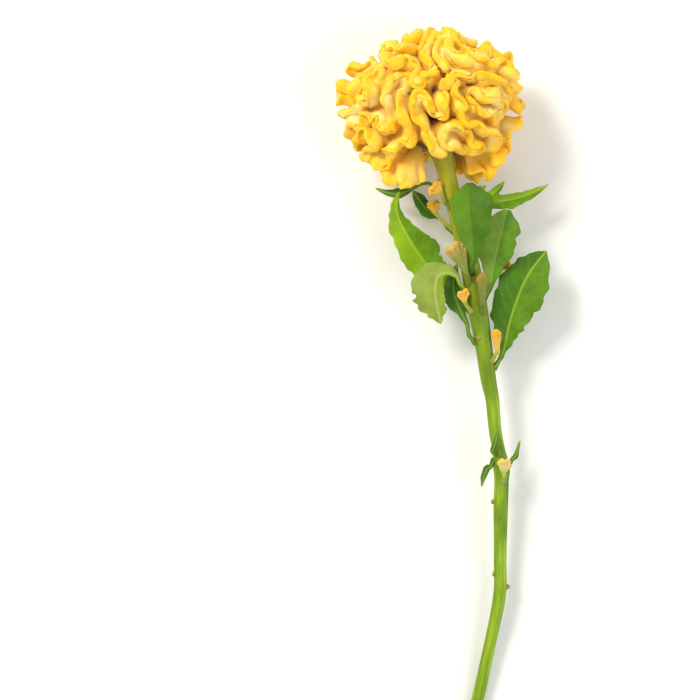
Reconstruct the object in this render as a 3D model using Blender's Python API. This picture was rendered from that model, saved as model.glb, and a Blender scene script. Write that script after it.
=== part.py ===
"""A cut yellow cockscomb celosia, lying on a flat surface with its head away from the cut end.

Lengths are written in millimetres and turned to metres when a mesh is made. X runs across the
flower, Y along the stem towards the head, and Z up from the surface that it lies on. While the
pieces are made, x = 0 and y = 0 are the middle of the head.
"""
import math

import bmesh
import bpy
import numpy as np
from mathutils import Vector

MM = 0.001
GAP = 0.3
SEAT_GAP = 0.4
SEAT_LENGTH = 2.2
SEAT_LEAN = 50.0
STALK_DEPTH = 0.9
MERGE = 0.000005

# The head: an egg of folded sheets, wider than it is deep
HEAD_HALF = (42.0, 34.5, 33.0)
HEAD_HEIGHT = 32.0
CORE_SHARE = 0.78
CORE_DETAIL = 3
GRID_DETAIL = 6
FOLD_SPACING = 7.0
FOLD_SEED = 24
FOLD_LIFT = 0.07
LIFT_SPACING = 11.0
LOWEST_FOLD = -0.86
SHORTEST_FOLD = 22.0
FOLD_STEP = 4.6
END_LENGTH = 7.0
# How a rim grows: its step, its rounds, how much longer it gets, and the shares of each round's moves
LINE_STEP = 2.1
PUSH_REACH = 1.02 * FOLD_SPACING
GROWTH_ROUNDS = 130
LENGTH_GROWTH = 1.5
PUSH = 0.30
SMOOTHING = 0.22
STRETCH = 0.25
LONGEST_MOVE = 0.45
# Each level of a fold: its share of the head's radius, how often its line is smoothed, half thickness
FOLD_LEVELS = ((0.62, 12, 1.0), (0.93, 2, 1.75), (1.01, 0, 1.1))
# Lobes that stand out of the egg or fall back from it: direction, height share, angular width
HEAD_LOBES = (
    ((-1.0, -0.05, 0.15), 0.10, 0.35),
    ((-0.72, 0.68, 0.0), -0.09, 0.28),
    ((-0.80, -0.60, 0.10), 0.06, 0.28),
    ((0.90, 0.42, 0.05), 0.16, 0.24),
    ((0.72, 0.69, 0.05), -0.07, 0.12),
    ((0.45, 0.88, 0.05), 0.07, 0.22),
    ((0.92, -0.38, 0.10), 0.03, 0.22),
    ((-0.45, -0.85, 0.25), 0.20, 0.25),
    ((0.68, -0.70, 0.15), 0.18, 0.25),
)

# The box that is cut away below the surface that the flower lies on
BELOW_GROUND = ((-150.0, -400.0, -60.0), (150.0, 150.0, 0.0))

# The stem's middle line from the neck to the cut end: x, y, height above the surface, diameter
STEM_LINE = (
    (4.0, -18.0, 32.0, 15.0),
    (5.2, -22.5, 31.6, 13.4),
    (6.6, -28.0, 31.1, 10.4),
    (8.0, -34.5, 30.5, 9.0),
    (10.0, -43.5, 29.5, 8.8),
    (12.5, -51.0, 28.5, 8.8),
    (15.0, -61.0, 27.5, 9.0),
    (17.5, -71.0, 26.5, 9.4),
    (20.5, -83.5, 25.3, 9.8),
    (23.5, -100.0, 23.8, 10.0),
    (26.6, -118.5, 22.0, 8.6),
    (29.5, -138.5, 20.0, 7.8),
    (31.5, -148.5, 19.0, 6.9),
    (33.0, -163.5, 17.5, 6.5),
    (35.0, -174.5, 16.4, 6.6),
    (36.5, -183.0, 15.5, 8.4),
    (36.5, -190.0, 14.9, 7.3),
    (36.2, -202.0, 13.7, 7.3),
    (36.0, -228.5, 11.0, 6.4),
    (35.8, -248.5, 9.1, 6.5),
    (31.0, -273.5, 6.6, 5.9),
    (25.8, -298.5, 4.0, 6.2),
    (23.6, -308.5, 3.1, 6.2),
)
STEM_SIDES = 14
STEM_RIBS = 5
RIB_DEPTH = 0.05
STEM_ROWS = 36
STUBS = (
    # y along the stem, angle round it in degrees, length, diameter
    (-201.5, 180.0, 1.6, 2.6),
    (-238.0, 175.0, 0.7, 3.0),
    (-245.0, 5.0, 1.9, 2.6),
    (-118.0, 120.0, 0.8, 3.0),
)

# Combs that hang under the head and belong to it: root, bearing, rise, reach, spread, ruffle, turns
HANGING_COMBS = (
    ((-6.0, -15.0, 36.0), 246.0, 14.0, 31.0, 28.0, 3.6, 3.0),
    ((-5.0, -14.0, 27.0), 228.0, -16.0, 25.0, 32.0, 3.4, 3.0),
    ((12.0, -14.0, 35.0), 318.0, 12.0, 30.0, 26.0, 3.6, 3.0),
    ((14.0, -16.0, 31.0), 293.0, -2.0, 25.0, 14.0, 2.4, 2.0),
    ((10.0, -15.0, 27.0), 308.0, -12.0, 24.0, 28.0, 3.2, 3.0),
)

# Small combs on the stem. Seat: y along the stem and angle round it. Stalk: further points.
SMALL_COMBS = {
    "comb_neck": dict(
        seat=(-49.0, 140.0), stalk=((5.0, -45.4, 34.4),),
        bearing=140.0, rise=6.0, reach=6.6, spread=52.0, ruffle=1.1, turns=2.5),
    "comb_side_shoot": dict(
        seat=(-60.0, 178.0), stalk=((5.0, -57.6, 28.0), (2.4, -55.0, 28.6)),
        bearing=104.0, rise=8.0, reach=7.0, spread=34.0, ruffle=0.9, turns=2.5),
    "comb_front_tall": dict(
        seat=(-88.0, 112.0), stalk=((17.6, -85.5, 34.0),),
        bearing=112.0, rise=2.0, reach=17.0, spread=19.0, ruffle=1.3, turns=2.5),
    "comb_front_low": dict(
        seat=(-103.0, 72.0), stalk=((25.9, -100.8, 32.6),),
        bearing=91.0, rise=4.0, reach=15.5, spread=11.0, ruffle=0.6, turns=1.5),
    "comb_right_axil": dict(
        seat=(-90.0, -18.0), stalk=((31.0, -86.0, 20.5), (34.5, -82.6, 19.5)),
        bearing=50.0, rise=0.0, reach=6.5, spread=48.0, ruffle=1.2, turns=2.5),
    "comb_left_axil": dict(
        seat=(-101.5, 138.0), stalk=((17.0, -99.6, 30.2),),
        bearing=104.0, rise=6.0, reach=6.5, spread=32.0, ruffle=0.8, turns=2.0),
    "comb_leaf_axil": dict(
        seat=(-127.5, 42.0), stalk=((33.4, -125.0, 25.6),),
        bearing=92.0, rise=10.0, reach=12.0, spread=13.0, ruffle=0.4, turns=1.5),
    "comb_lower_node": dict(
        seat=(-188.0, 84.0), stalk=((37.0, -186.0, 21.0),),
        bearing=86.0, rise=10.0, reach=8.0, spread=32.0, ruffle=1.1, turns=2.5),
}

# Leaves and bracts. Seat as above. Line: further points of the midrib to the tip. Widths: share of
# the line, reach to its left and to its right.
LEAVES = {
    "leaf_long_left": dict(
        seat=(-101.0, 190.0),
        line=((12.0, -94.0, 19.5), (5.0, -87.5, 18.0), (-3.5, -78.0, 18.0),
              (-12.5, -64.0, 19.5), (-17.0, -53.5, 22.0), (-16.0, -44.0, 25.0)),
        widths=((0.0, 1.0, 1.0), (0.12, 1.3, 1.3), (0.3, 8.0, 6.5), (0.5, 9.5, 11.0),
                (0.72, 7.2, 5.5), (0.88, 3.6, 1.8), (1.0, 0.35, 0.35)),
        fold=0.22, wave=0.8, turns=3.5),
    "leaf_pale": dict(
        seat=(-91.5, 150.0),
        line=((12.5, -86.5, 31.0), (7.0, -84.8, 33.5), (2.6, -88.0, 34.5),
              (2.2, -97.0, 33.0), (5.0, -110.3, 29.0)),
        widths=((0.0, 1.0, 1.0), (0.22, 1.2, 1.6), (0.36, 1.8, 6.5), (0.5, 3.4, 11.5),
                (0.64, 4.6, 13.0), (0.8, 4.6, 9.5), (0.9, 3.2, 5.0), (1.0, 0.35, 0.35)),
        fold=-0.15, wave=0.7, turns=3.0),
    "leaf_dark_small": dict(
        seat=(-117.0, 168.0),
        line=((18.6, -111.0, 23.0), (14.3, -102.0, 24.0), (11.3, -92.0, 24.5), (13.0, -80.5, 27.0)),
        widths=((0.0, 0.9, 0.9), (0.30, 1.0, 1.0), (0.48, 4.6, 4.0), (0.70, 5.4, 4.2), (1.0, 0.35, 0.35)),
        fold=0.25, wave=0.5, turns=2.5),
    "leaf_upright_front": dict(
        seat=(-83.0, 88.0),
        line=((21.6, -78.0, 35.5), (21.0, -70.0, 38.5), (20.0, -61.0, 40.5),
              (19.3, -50.5, 40.5), (18.6, -40.6, 39.0)),
        widths=((0.0, 1.1, 1.1), (0.15, 1.6, 1.6), (0.32, 5.4, 5.0), (0.52, 9.0, 8.8),
                (0.72, 10.4, 11.0), (0.88, 8.6, 9.6), (0.96, 5.0, 6.0), (1.0, 1.4, 1.8)),
        fold=0.16, wave=0.5, turns=3.0),
    "leaf_right_front": dict(
        seat=(-96.0, 24.0),
        line=((30.0, -91.5, 26.0), (31.7, -80.0, 28.0), (34.5, -68.0, 31.0), (38.0, -53.2, 30.0)),
        widths=((0.0, 1.1, 1.1), (0.15, 1.6, 1.6), (0.35, 6.5, 5.2), (0.6, 10.5, 8.5),
                (0.80, 9.5, 9.0), (0.93, 5.6, 6.6), (1.0, 1.6, 2.0)),
        fold=0.2, wave=0.7, turns=3.5),
    "leaf_large_right": dict(
        seat=(-131.0, 12.0),
        line=((37.4, -123.0, 18.0), (40.0, -110.0, 20.0), (44.0, -97.0, 22.5),
              (49.5, -85.0, 23.5), (58.5, -73.5, 21.0)),
        widths=((0.0, 1.1, 1.1), (0.14, 1.5, 1.5), (0.30, 7.6, 6.4), (0.52, 12.6, 12.0),
                (0.74, 11.4, 13.0), (0.88, 6.4, 8.4), (1.0, 0.35, 0.35)),
        fold=0.14, wave=1.0, turns=3.5),
    "leaf_slim_right": dict(
        seat=(-55.5, -8.0),
        line=((24.0, -51.0, 25.0), (33.0, -49.0, 23.5), (43.0, -47.2, 22.5),
              (52.0, -44.0, 21.5), (59.5, -40.0, 21.0)),
        widths=((0.0, 0.9, 0.9), (0.18, 1.2, 1.2), (0.36, 3.4, 4.0), (0.55, 3.2, 4.4),
                (0.80, 1.8, 2.4), (1.0, 0.35, 0.35)),
        fold=0.25, wave=0.4, turns=2.5),
    "leaf_side_shoot": dict(
        seat=(-62.5, 200.0),
        line=((5.0, -57.2, 22.5), (-1.0, -53.5, 23.5), (-5.0, -49.0, 24.5), (-8.8, -43.6, 25.0)),
        widths=((0.0, 0.8, 0.8), (0.34, 0.9, 0.9), (0.55, 4.2, 4.0), (0.78, 3.4, 3.8), (1.0, 0.35, 0.35)),
        fold=0.2, wave=0.5, turns=3.0),
    "bract_hanging_comb": dict(
        seat=(-38.5, 186.0),
        line=((-3.0, -39.5, 24.0), (-12.0, -43.5, 19.0), (-19.0, -44.5, 17.0), (-27.5, -41.6, 16.0)),
        widths=((0.0, 0.7, 0.7), (0.48, 0.7, 0.7), (0.66, 2.6, 2.8), (0.82, 1.6, 1.6), (1.0, 0.35, 0.35)),
        fold=0.2, wave=0.3, turns=2.0),
    "bract_neck_right": dict(
        seat=(-49.0, 20.0),
        line=((20.0, -45.6, 30.5), (24.5, -43.4, 29.5), (27.6, -41.2, 29.0)),
        widths=((0.0, 0.7, 0.7), (0.35, 1.0, 1.0), (0.6, 2.4, 2.6), (1.0, 0.35, 0.35)),
        fold=0.2, wave=0.2, turns=2.0),
    "bract_right_spike": dict(
        seat=(-52.0, 5.0),
        line=((26.0, -47.6, 27.0), (32.0, -44.5, 26.5), (37.0, -39.0, 26.0)),
        widths=((0.0, 0.7, 0.7), (0.4, 1.6, 1.6), (0.7, 2.4, 2.4), (1.0, 0.35, 0.35)),
        fold=0.2, wave=0.2, turns=2.0),
    "bract_node_left": dict(
        seat=(-180.5, 165.0),
        line=((29.4, -182.6, 17.0), (27.4, -186.5, 16.5), (26.3, -192.5, 14.5)),
        widths=((0.0, 0.9, 0.9), (0.4, 1.7, 1.7), (0.75, 1.1, 1.1), (1.0, 0.35, 0.35)),
        fold=0.25, wave=0.2, turns=2.0),
    "bract_node_right": dict(
        seat=(-180.5, 12.0),
        line=((43.2, -177.6, 16.6), (45.6, -169.6, 15.6)),
        widths=((0.0, 0.8, 0.8), (0.4, 1.4, 1.4), (1.0, 0.35, 0.35)),
        fold=0.2, wave=0.1, turns=2.0),
    "bract_node_front": dict(
        seat=(-175.0, 128.0),
        line=((32.6, -170.6, 22.6), (33.6, -165.6, 23.6), (34.4, -161.6, 24.0)),
        widths=((0.0, 0.8, 0.8), (0.4, 1.3, 1.3), (1.0, 0.35, 0.35)),
        fold=0.2, wave=0.1, turns=2.0),
}
# A leaf has a row of points for each length of its midrib, between the fewest and the most rows.
LEAF_ROW_LENGTH = 4.5
FEWEST_ROWS = 8
LEAF_ROWS = 14
ROW_CROWDING = 1.25
LEAF_COLUMNS = (-1.0, -0.5, 0.0, 0.5, 1.0)
STALK_SHARE = 0.25
STALK_REACH = 2.2
LEAF_STALK_HALF = 0.8
FLAT_REACH = 1.5
BLADE_HALF = 0.34
MIDRIB_HALF = 0.6
# A comb's rows: share of its reach and half thickness. Fans narrower than the full width are thinner.
COMB_COLUMNS = 9
COMB_ROWS = ((0.25, 0.8), (0.6, 1.0), (0.9, 1.5), (1.0, 0.9))
COMB_FULL_WIDTH = 5.5
WIDE_FAN = 25.0
STALK_HALF = 0.6
CORNER_THINNING = 0.35

COLOURS = {
    "stem_green": ((0.26, 0.40, 0.03), 0.55),
    "crest_yellow": ((1.0, 0.57, 0.01), 0.7),
    "leaf_green": ((0.09, 0.26, 0.02), 0.5),
    "leaf_pale_green": ((0.36, 0.52, 0.12), 0.6),
    "comb_orange": ((0.95, 0.42, 0.02), 0.7),
    "comb_cream": ((0.94, 0.78, 0.28), 0.7),
}


def unit(vectors):
    """Vectors of length one, whatever the number of axes before the last."""
    length = np.sqrt((vectors * vectors).sum(-1, keepdims=True))
    return vectors / np.maximum(length, 1e-9)


def cross(first, second):
    """The cross product, written out so that it is the same on every machine."""
    a, b, c = first[..., 0], first[..., 1], first[..., 2]
    d, e, f = second[..., 0], second[..., 1], second[..., 2]
    return np.stack([b * f - c * e, c * d - a * f, a * e - b * d], -1)


def smooth_path(points, count):
    """A smooth line through hand-placed points, evenly spaced by length."""
    points = np.array(points, float)
    padded = np.vstack([2 * points[0] - points[1], points, 2 * points[-1] - points[-2]])
    fine = []
    for n in range(1, len(padded) - 2):
        a, b, c, d = padded[n - 1:n + 3]
        for t in np.linspace(0.0, 1.0, 12, endpoint=False):
            fine.append(0.5 * (2 * b + (c - a) * t + (2 * a - 5 * b + 4 * c - d) * t * t
                               + (3 * b - a - 3 * c + d) * t ** 3))
    fine = np.array(fine + [points[-1]])
    steps = np.sqrt(((fine[1:, :3] - fine[:-1, :3]) ** 2).sum(1))
    run = np.concatenate([[0.0], np.cumsum(steps)])
    wanted = np.linspace(0.0, run[-1], count)
    return np.stack([np.interp(wanted, run, fine[:, k]) for k in range(fine.shape[1])], 1)


def mesh_object(name, points, triangles, material, collection):
    """A closed mesh from points in millimetres, turned inside out if its faces point inward."""
    points = np.asarray(points, float)
    triangles = np.asarray(triangles, int)
    a, b, c = (points[triangles[:, k]] for k in range(3))
    if (a * cross(b, c)).sum() < 0:
        triangles = triangles[:, ::-1]
    mesh = bpy.data.meshes.new(name)
    mesh.from_pydata((points * MM).tolist(), [], triangles.tolist())
    mesh.materials.append(material)
    obj = bpy.data.objects.new(name, mesh)
    collection.objects.link(obj)
    return obj


def slab(name, middle, half, material, collection, closed=False):
    """A bent sheet with thickness: rows of middle points, each moved both ways along the normal.

    Both faces are split along the same diagonals. A closed sheet runs round from its last
    column to its first.
    """
    rows, columns = middle.shape[:2]
    if closed:
        along = np.roll(middle, -1, 1) - np.roll(middle, 1, 1)
    else:
        along = np.gradient(middle, axis=1)
    normal = unit(cross(along, np.gradient(middle, axis=0)))
    points = np.concatenate([
        (middle + normal * half[..., None]).reshape(-1, 3),
        (middle - normal * half[..., None]).reshape(-1, 3)])
    other = rows * columns

    def at(row, column):
        return row * columns + column % columns

    triangles = []
    for row in range(rows - 1):
        for column in range(columns if closed else columns - 1):
            a, b = at(row, column), at(row, column + 1)
            d, c = at(row + 1, column), at(row + 1, column + 1)
            triangles += [(a, b, c), (a, c, d)]
            triangles += [(other + c, other + b, other + a), (other + d, other + c, other + a)]
    border = [[at(0, n) for n in range(columns + (1 if closed else 0))],
              [at(rows - 1, n) for n in reversed(range(columns + (1 if closed else 0)))]]
    if not closed:
        border += [[at(n, 0) for n in reversed(range(rows))], [at(n, columns - 1) for n in range(rows)]]
    for edge in border:
        for a, b in zip(edge, edge[1:]):
            triangles += [(b, a, other + a), (b, other + a, other + b)]
    return mesh_object(name, points, triangles, material, collection)


def head_point(vectors):
    """The points of the egg's surface that lie in the same directions."""
    return unit(vectors / np.array(HEAD_HALF)) * np.array(HEAD_HALF)


def head_grid():
    """An even triangle grid on the unit sphere."""
    grid = bmesh.new()
    bmesh.ops.create_icosphere(grid, subdivisions=GRID_DETAIL, radius=1.0)
    points = np.array([v.co[:] for v in grid.verts])
    faces = [tuple(v.index for v in f.verts) for f in grid.faces]
    grid.free()
    return points, faces


def wave_sum(points, spacing, seed, count=24):
    """A smooth random field: plane waves of one length, in random directions."""
    draws = np.random.default_rng(seed)
    directions = unit(draws.normal(size=(count, 3))) * math.pi / spacing
    phases = draws.uniform(0.0, 2.0 * math.pi, count)
    heights = draws.uniform(0.6, 1.0, count)
    total = np.zeros(len(points))
    for (a, b, c), phase, height in zip(directions, phases, heights):
        total += height * np.cos(points[:, 0] * a + points[:, 1] * b + points[:, 2] * c + phase)
    return total


def zero_lines(points, faces, field):
    """The lines on which the field changes sign, above the lowest fold."""
    crossing, links, found = {}, {}, []
    for face in faces:
        if min(points[n][1] for n in face) < LOWEST_FOLD:
            continue
        ends = []
        for a, b in ((face[0], face[1]), (face[1], face[2]), (face[2], face[0])):
            if (field[a] > 0) == (field[b] > 0):
                continue
            key = (min(a, b), max(a, b))
            if key not in crossing:
                share = field[key[0]] / (field[key[0]] - field[key[1]])
                crossing[key] = len(found)
                found.append(points[key[0]] * (1 - share) + points[key[1]] * share)
            ends.append(crossing[key])
        if ends:
            links.setdefault(ends[0], []).append(ends[1])
            links.setdefault(ends[1], []).append(ends[0])
    lines, seen = [], set()
    for start in sorted(links, key=lambda n: (len(links[n]), n)):
        if start in seen:
            continue
        line, here = [], start
        while here is not None:
            seen.add(here)
            line.append(found[here])
            here = next((n for n in links[here] if n not in seen), None)
        lines.append((np.array(line), len(links[start]) == 2))
    return lines


def respaced(line, closed, step):
    """The same line with even steps."""
    path = np.vstack([line, line[:1]]) if closed else line
    run = np.concatenate([[0.0], np.cumsum(np.sqrt(((path[1:] - path[:-1]) ** 2).sum(1)))])
    count = max(6, int(round(run[-1] / step)))
    wanted = np.linspace(0.0, run[-1], count + 1)
    wanted = wanted[:-1] if closed else wanted
    return np.stack([np.interp(wanted, run, path[:, k]) for k in range(3)], 1), run[-1]


def neighbours(count, closed):
    """The indices of the points before and after each point of a line."""
    index = np.arange(count)
    if closed:
        return (index - 1) % count, (index + 1) % count
    return np.maximum(index - 1, 0), np.minimum(index + 1, count - 1)


def fold_lines():
    """The rims of the folds: lines on the egg that have grown, pushed apart and crumpled.

    They start as the zero lines of a random field. Then each point moves away from other rims,
    towards the middle of its neighbours, and along its line, whose rest length grows.
    """
    points, faces = head_grid()
    shape = np.array(HEAD_HALF)
    field = wave_sum(points * shape, FOLD_SPACING, FOLD_SEED)
    lines = []
    for line, closed in zero_lines(points, faces, field):
        line, length = respaced(line * shape, closed, LINE_STEP)
        if length > SHORTEST_FOLD:
            lines.append((line, closed))
    place = np.vstack([line for line, closed in lines])
    before, after, owner, index, loop, offset = [], [], [], [], [], 0
    for number, (line, closed) in enumerate(lines):
        back, front = neighbours(len(line), closed)
        before.append(back + offset)
        after.append(front + offset)
        owner += [number] * len(line)
        index += list(range(len(line)))
        loop += [len(line) if closed else 10 ** 6] * len(line)
        offset += len(line)
    before, after = np.concatenate(before), np.concatenate(after)
    owner, index, loop = np.array(owner), np.array(index), np.array(loop)
    apart = np.abs(index[:, None] - index[None, :])
    apart = np.minimum(apart, np.abs(loop[:, None] - apart))
    strangers = (owner[:, None] != owner[None, :]) | (apart > int(0.8 * PUSH_REACH / LINE_STEP))
    for turn in range(GROWTH_ROUNDS):
        offsets = [place[:, None, k] - place[None, :, k] for k in range(3)]
        distance = np.sqrt(offsets[0] ** 2 + offsets[1] ** 2 + offsets[2] ** 2)
        weight = np.where((distance < PUSH_REACH) & strangers, 1 - distance / PUSH_REACH, 0)
        weight = weight / np.maximum(distance, 0.3)
        move = PUSH * np.stack([(part * weight).sum(1) for part in offsets], 1)
        move += SMOOTHING * (0.5 * (place[before] + place[after]) - place)
        rest = LINE_STEP * (1 + (LENGTH_GROWTH - 1) * min(1.0, turn / (0.7 * GROWTH_ROUNDS)))
        for other in (before, after):
            edge = place[other] - place
            length = np.sqrt((edge * edge).sum(1))[:, None]
            move += STRETCH * np.where(length > 1e-5, edge / np.maximum(length, 1e-6) * (length - rest), 0)
        move[:, 1] += 10 * np.maximum(0, LOWEST_FOLD + 0.02 - place[:, 1] / shape[1])
        length = np.sqrt((move * move).sum(1))[:, None]
        move *= np.minimum(1, LONGEST_MOVE / np.maximum(length, 1e-9))
        place = np.round(head_point(place + move), 6)
    grown, offset = [], 0
    for line, closed in lines:
        grown.append((place[offset:offset + len(line)], closed))
        offset += len(line)
    return grown


def lobe_height(points):
    """How far the head stands out of the egg, as a share of its radius."""
    direction = unit(points / np.array(HEAD_HALF))
    height = FOLD_LIFT * wave_sum(points, LIFT_SPACING, FOLD_SEED + 1, 10) / 2.0
    for lobe, share, width in HEAD_LOBES:
        lobe = np.array(lobe) / math.sqrt(sum(c * c for c in lobe))
        height += share * np.exp(-(1 - (direction * lobe).sum(1)) / width ** 2)
    return height


def fold_sheet(line, closed):
    """The middle points and half thicknesses of one fold, from inside the core to its rim.

    Deeper levels follow a smoother line, so the sheet flares towards its crumpled rim. At its
    ends an open fold sinks back towards the core.
    """
    back, front = neighbours(len(line), closed)
    run = np.concatenate([[0.0], np.cumsum(np.sqrt(((line[1:] - line[:-1]) ** 2).sum(1)))])
    ends = np.ones(len(line))
    if not closed:
        near = np.minimum(run, run[-1] - run) / END_LENGTH
        ends = 0.35 + 0.65 * np.sqrt(1 - (1 - np.minimum(near, 1)) ** 2)
    inner = FOLD_LEVELS[0][0]
    middle, half = [], []
    for share, passes, thick in FOLD_LEVELS:
        level = line
        for _ in range(passes):
            level = level + 0.5 * (0.5 * (level[back] + level[front]) - level)
        level = head_point(level)
        outward = (share - inner) / (1 - inner)
        radius = inner + (share - inner) * ends + outward * lobe_height(level) * ends
        middle.append(level * radius[:, None])
        half.append(np.full(len(line), thick) * (0.75 + 0.25 * ends))
    return np.array(middle), np.array(half)


def spread_columns(middle, half, closed, step):
    """The sheet with its columns about one step apart along the rim."""
    rim = middle[-1]
    path = np.vstack([rim, rim[:1]]) if closed else rim
    run = np.concatenate([[0.0], np.cumsum(np.sqrt(((path[1:] - path[:-1]) ** 2).sum(1)))])
    count = max(6, int(round(run[-1] / step)))
    wanted = np.linspace(0.0, run[-1], count + 1)
    wanted = wanted[:-1] if closed else wanted
    if closed:
        middle = np.concatenate([middle, middle[:, :1]], 1)
        half = np.concatenate([half, half[:, :1]], 1)
    middle = np.stack([np.stack([np.interp(wanted, run, row[:, k]) for k in range(3)], 1) for row in middle])
    half = np.stack([np.interp(wanted, run, row) for row in half])
    return middle, half


def comb_sheet(stalk, bearing, rise, reach, spread, ruffle, turns):
    """A small fan with a ruffled rim on a narrow stalk.

    Bearing is the fan's direction in the XY plane, and rise its angle above that plane.
    """
    bearing, rise = math.radians(bearing), math.radians(rise)
    crown = np.array([math.cos(bearing) * math.cos(rise), math.sin(bearing) * math.cos(rise), math.sin(rise)])
    side = np.array([-math.sin(bearing), math.cos(bearing), 0.0])
    front = cross(crown, side)
    across = np.linspace(-1.0, 1.0, COMB_COLUMNS)
    middle, half = [], []
    stalk = np.array(stalk, float)
    leading = np.gradient(np.vstack([stalk, stalk[-1] + crown]), axis=0)[:-1]
    for point, forward in zip(stalk, unit(leading)):
        width = unit(cross(front, forward) + 0.25 * side)
        middle.append(point + width * across[:, None])
        half.append(np.full(COMB_COLUMNS, STALK_HALF))
    slim = min(1.0, reach * math.radians(spread) / COMB_FULL_WIDTH)
    notch = 0.05 if spread > WIDE_FAN else -0.05
    angle = np.radians(spread) * across
    ray = np.cos(angle)[:, None] * crown + np.sin(angle)[:, None] * side
    wave = np.sin(turns * math.pi * 0.5 * across + 0.6)
    for share, thick in COMB_ROWS:
        uneven = 1 - share * (0.25 * across ** 4 + notch * np.cos(turns * math.pi * across))
        row = stalk[-1] + side * across[:, None] * (1 - share) + ray * (reach * share * uneven)[:, None]
        row = row * np.ones((COMB_COLUMNS, 1)) + front * (ruffle * share ** 1.5 * wave)[:, None]
        middle.append(row)
        half.append((STALK_HALF + (thick - STALK_HALF) * slim ** 2) * (1 - CORNER_THINNING * across ** 4))
    return np.array(middle), np.array(half)


def stem_at(y):
    """The stem's middle, radius and direction where it crosses a given y."""
    line = np.array(STEM_LINE)[::-1]
    centre, upper = (
        np.array([np.interp(place, line[:, 1], line[:, 0]), place, np.interp(place, line[:, 1], line[:, 2])])
        for place in (y, y + 2.0))
    return centre, 0.5 * np.interp(y, line[:, 1], line[:, 3]), unit(upper - centre)


def seat_points(y, angle, onward):
    """Two points that lead out from the stem's surface, leaning the way that the line goes on.

    The first is a gap away from the stem, so the stalk grows from it at a slant.
    """
    centre, radius, direction = stem_at(y)
    outward = np.array([math.cos(math.radians(angle)), 0.0, math.sin(math.radians(angle))])
    outward = unit(outward - direction * (outward * direction).sum())
    lean = math.radians(SEAT_LEAN if onward > y else -SEAT_LEAN)
    forward = outward * math.cos(lean) + direction * math.sin(lean)
    first = centre + outward * (radius * (1 + RIB_DEPTH) + SEAT_GAP + STALK_DEPTH * abs(math.sin(lean)))
    return [first, first + forward * SEAT_LENGTH]


def leaf_sheet(line, widths, fold, wave, turns):
    """A leaf's blade and stalk: rows across a bent midrib, folded along it and waved at the edge."""
    smooth = smooth_path(line, 60)
    length = np.sqrt(((smooth[1:] - smooth[:-1]) ** 2).sum(1)).sum()
    rows = int(min(LEAF_ROWS, max(FEWEST_ROWS, length / LEAF_ROW_LENGTH)))
    share = np.linspace(0.0, 1.0, rows) ** ROW_CROWDING
    spine = np.stack([np.interp(share, np.linspace(0.0, 1.0, 60), smooth[:, k]) for k in range(3)], 1)
    table = np.array(widths)
    left = np.interp(share, table[:, 0], table[:, 1])
    right = np.interp(share, table[:, 0], table[:, 2])
    forward = unit(np.gradient(spine, axis=0))
    onward = unit((spine[-1] - spine[0]) * np.array([1.0, 1.0, 0.0]))
    leading = forward + onward * np.maximum(0.0, 1.0 - share / STALK_SHARE)[:, None]
    side = cross(np.array([0.0, 0.0, 1.0]) * np.ones_like(leading), leading)
    side = unit(side - forward * (side * forward).sum(1)[:, None])
    up = cross(forward, side)
    middle, half = [], []
    for column in LEAF_COLUMNS:
        reach = left if column > 0 else right
        ripple = wave * column * column * np.sin(turns * 2 * math.pi * share + (1.3 if column > 0 else 0.0))
        calm = np.clip((reach - FLAT_REACH) / (2 * FLAT_REACH), 0.0, 1.0)
        lift = fold * abs(column) * reach + ripple * calm
        middle.append(spine + side * (reach * column)[:, None] + up * lift[:, None])
        stalky = np.clip((STALK_REACH - reach) / 1.2, 0.0, 1.0) * (share < 0.5)
        blade = BLADE_HALF if column else MIDRIB_HALF
        half.append(blade + (LEAF_STALK_HALF - blade) * stalky)
    half = np.array(half).T
    half[-1] = BLADE_HALF
    return np.array(middle).transpose(1, 0, 2), half


def tube_object(name, line, sides, ribs, depth, grow, material, collection):
    """A tapering tube with shallow ribs along a bent line of points with their diameters."""
    line = np.array(line, float)
    forward = unit(np.gradient(line[:, :3], axis=0))
    side = unit(cross(forward, np.array([0.0, 0.0, 1.0]) * np.ones_like(forward)))
    up = cross(side, forward)
    points, triangles = [], []
    for centre, x_axis, y_axis, diameter in zip(line[:, :3], side, up, line[:, 3]):
        for n in range(sides):
            angle = 2 * math.pi * n / sides
            radius = 0.5 * diameter * (1 + depth * math.cos(ribs * angle)) + grow
            points.append(centre + x_axis * radius * math.cos(angle) + y_axis * radius * math.sin(angle))
    for row in range(len(line) - 1):
        for n in range(sides):
            a, b = row * sides + n, row * sides + (n + 1) % sides
            triangles += [(a, b, b + sides), (a, b + sides, a + sides)]
    last = (len(line) - 1) * sides
    for n in range(1, sides - 1):
        triangles += [(0, n + 1, n), (last, last + n, last + n + 1)]
    return mesh_object(name, points, triangles, material, collection)


def combine(obj, others, operation):
    """Join other objects to this one, or cut them from it, and remove them."""
    group = bpy.data.collections.new("tools for " + obj.name)
    bpy.context.scene.collection.children.link(group)
    for other in others:
        for owner in list(other.users_collection):
            owner.objects.unlink(other)
        group.objects.link(other)
    boolean = obj.modifiers.new("combine", "BOOLEAN")
    boolean.operation = operation
    boolean.operand_type = "COLLECTION"
    boolean.collection = group
    boolean.solver = "EXACT"
    boolean.use_self = operation == "UNION"
    bpy.context.view_layer.update()
    evaluated = obj.evaluated_get(bpy.context.evaluated_depsgraph_get())
    mesh = bpy.data.meshes.new_from_object(evaluated)
    obj.modifiers.clear()
    obj.data = mesh
    for other in list(group.objects):
        bpy.data.objects.remove(other)
    bpy.data.collections.remove(group)


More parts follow.
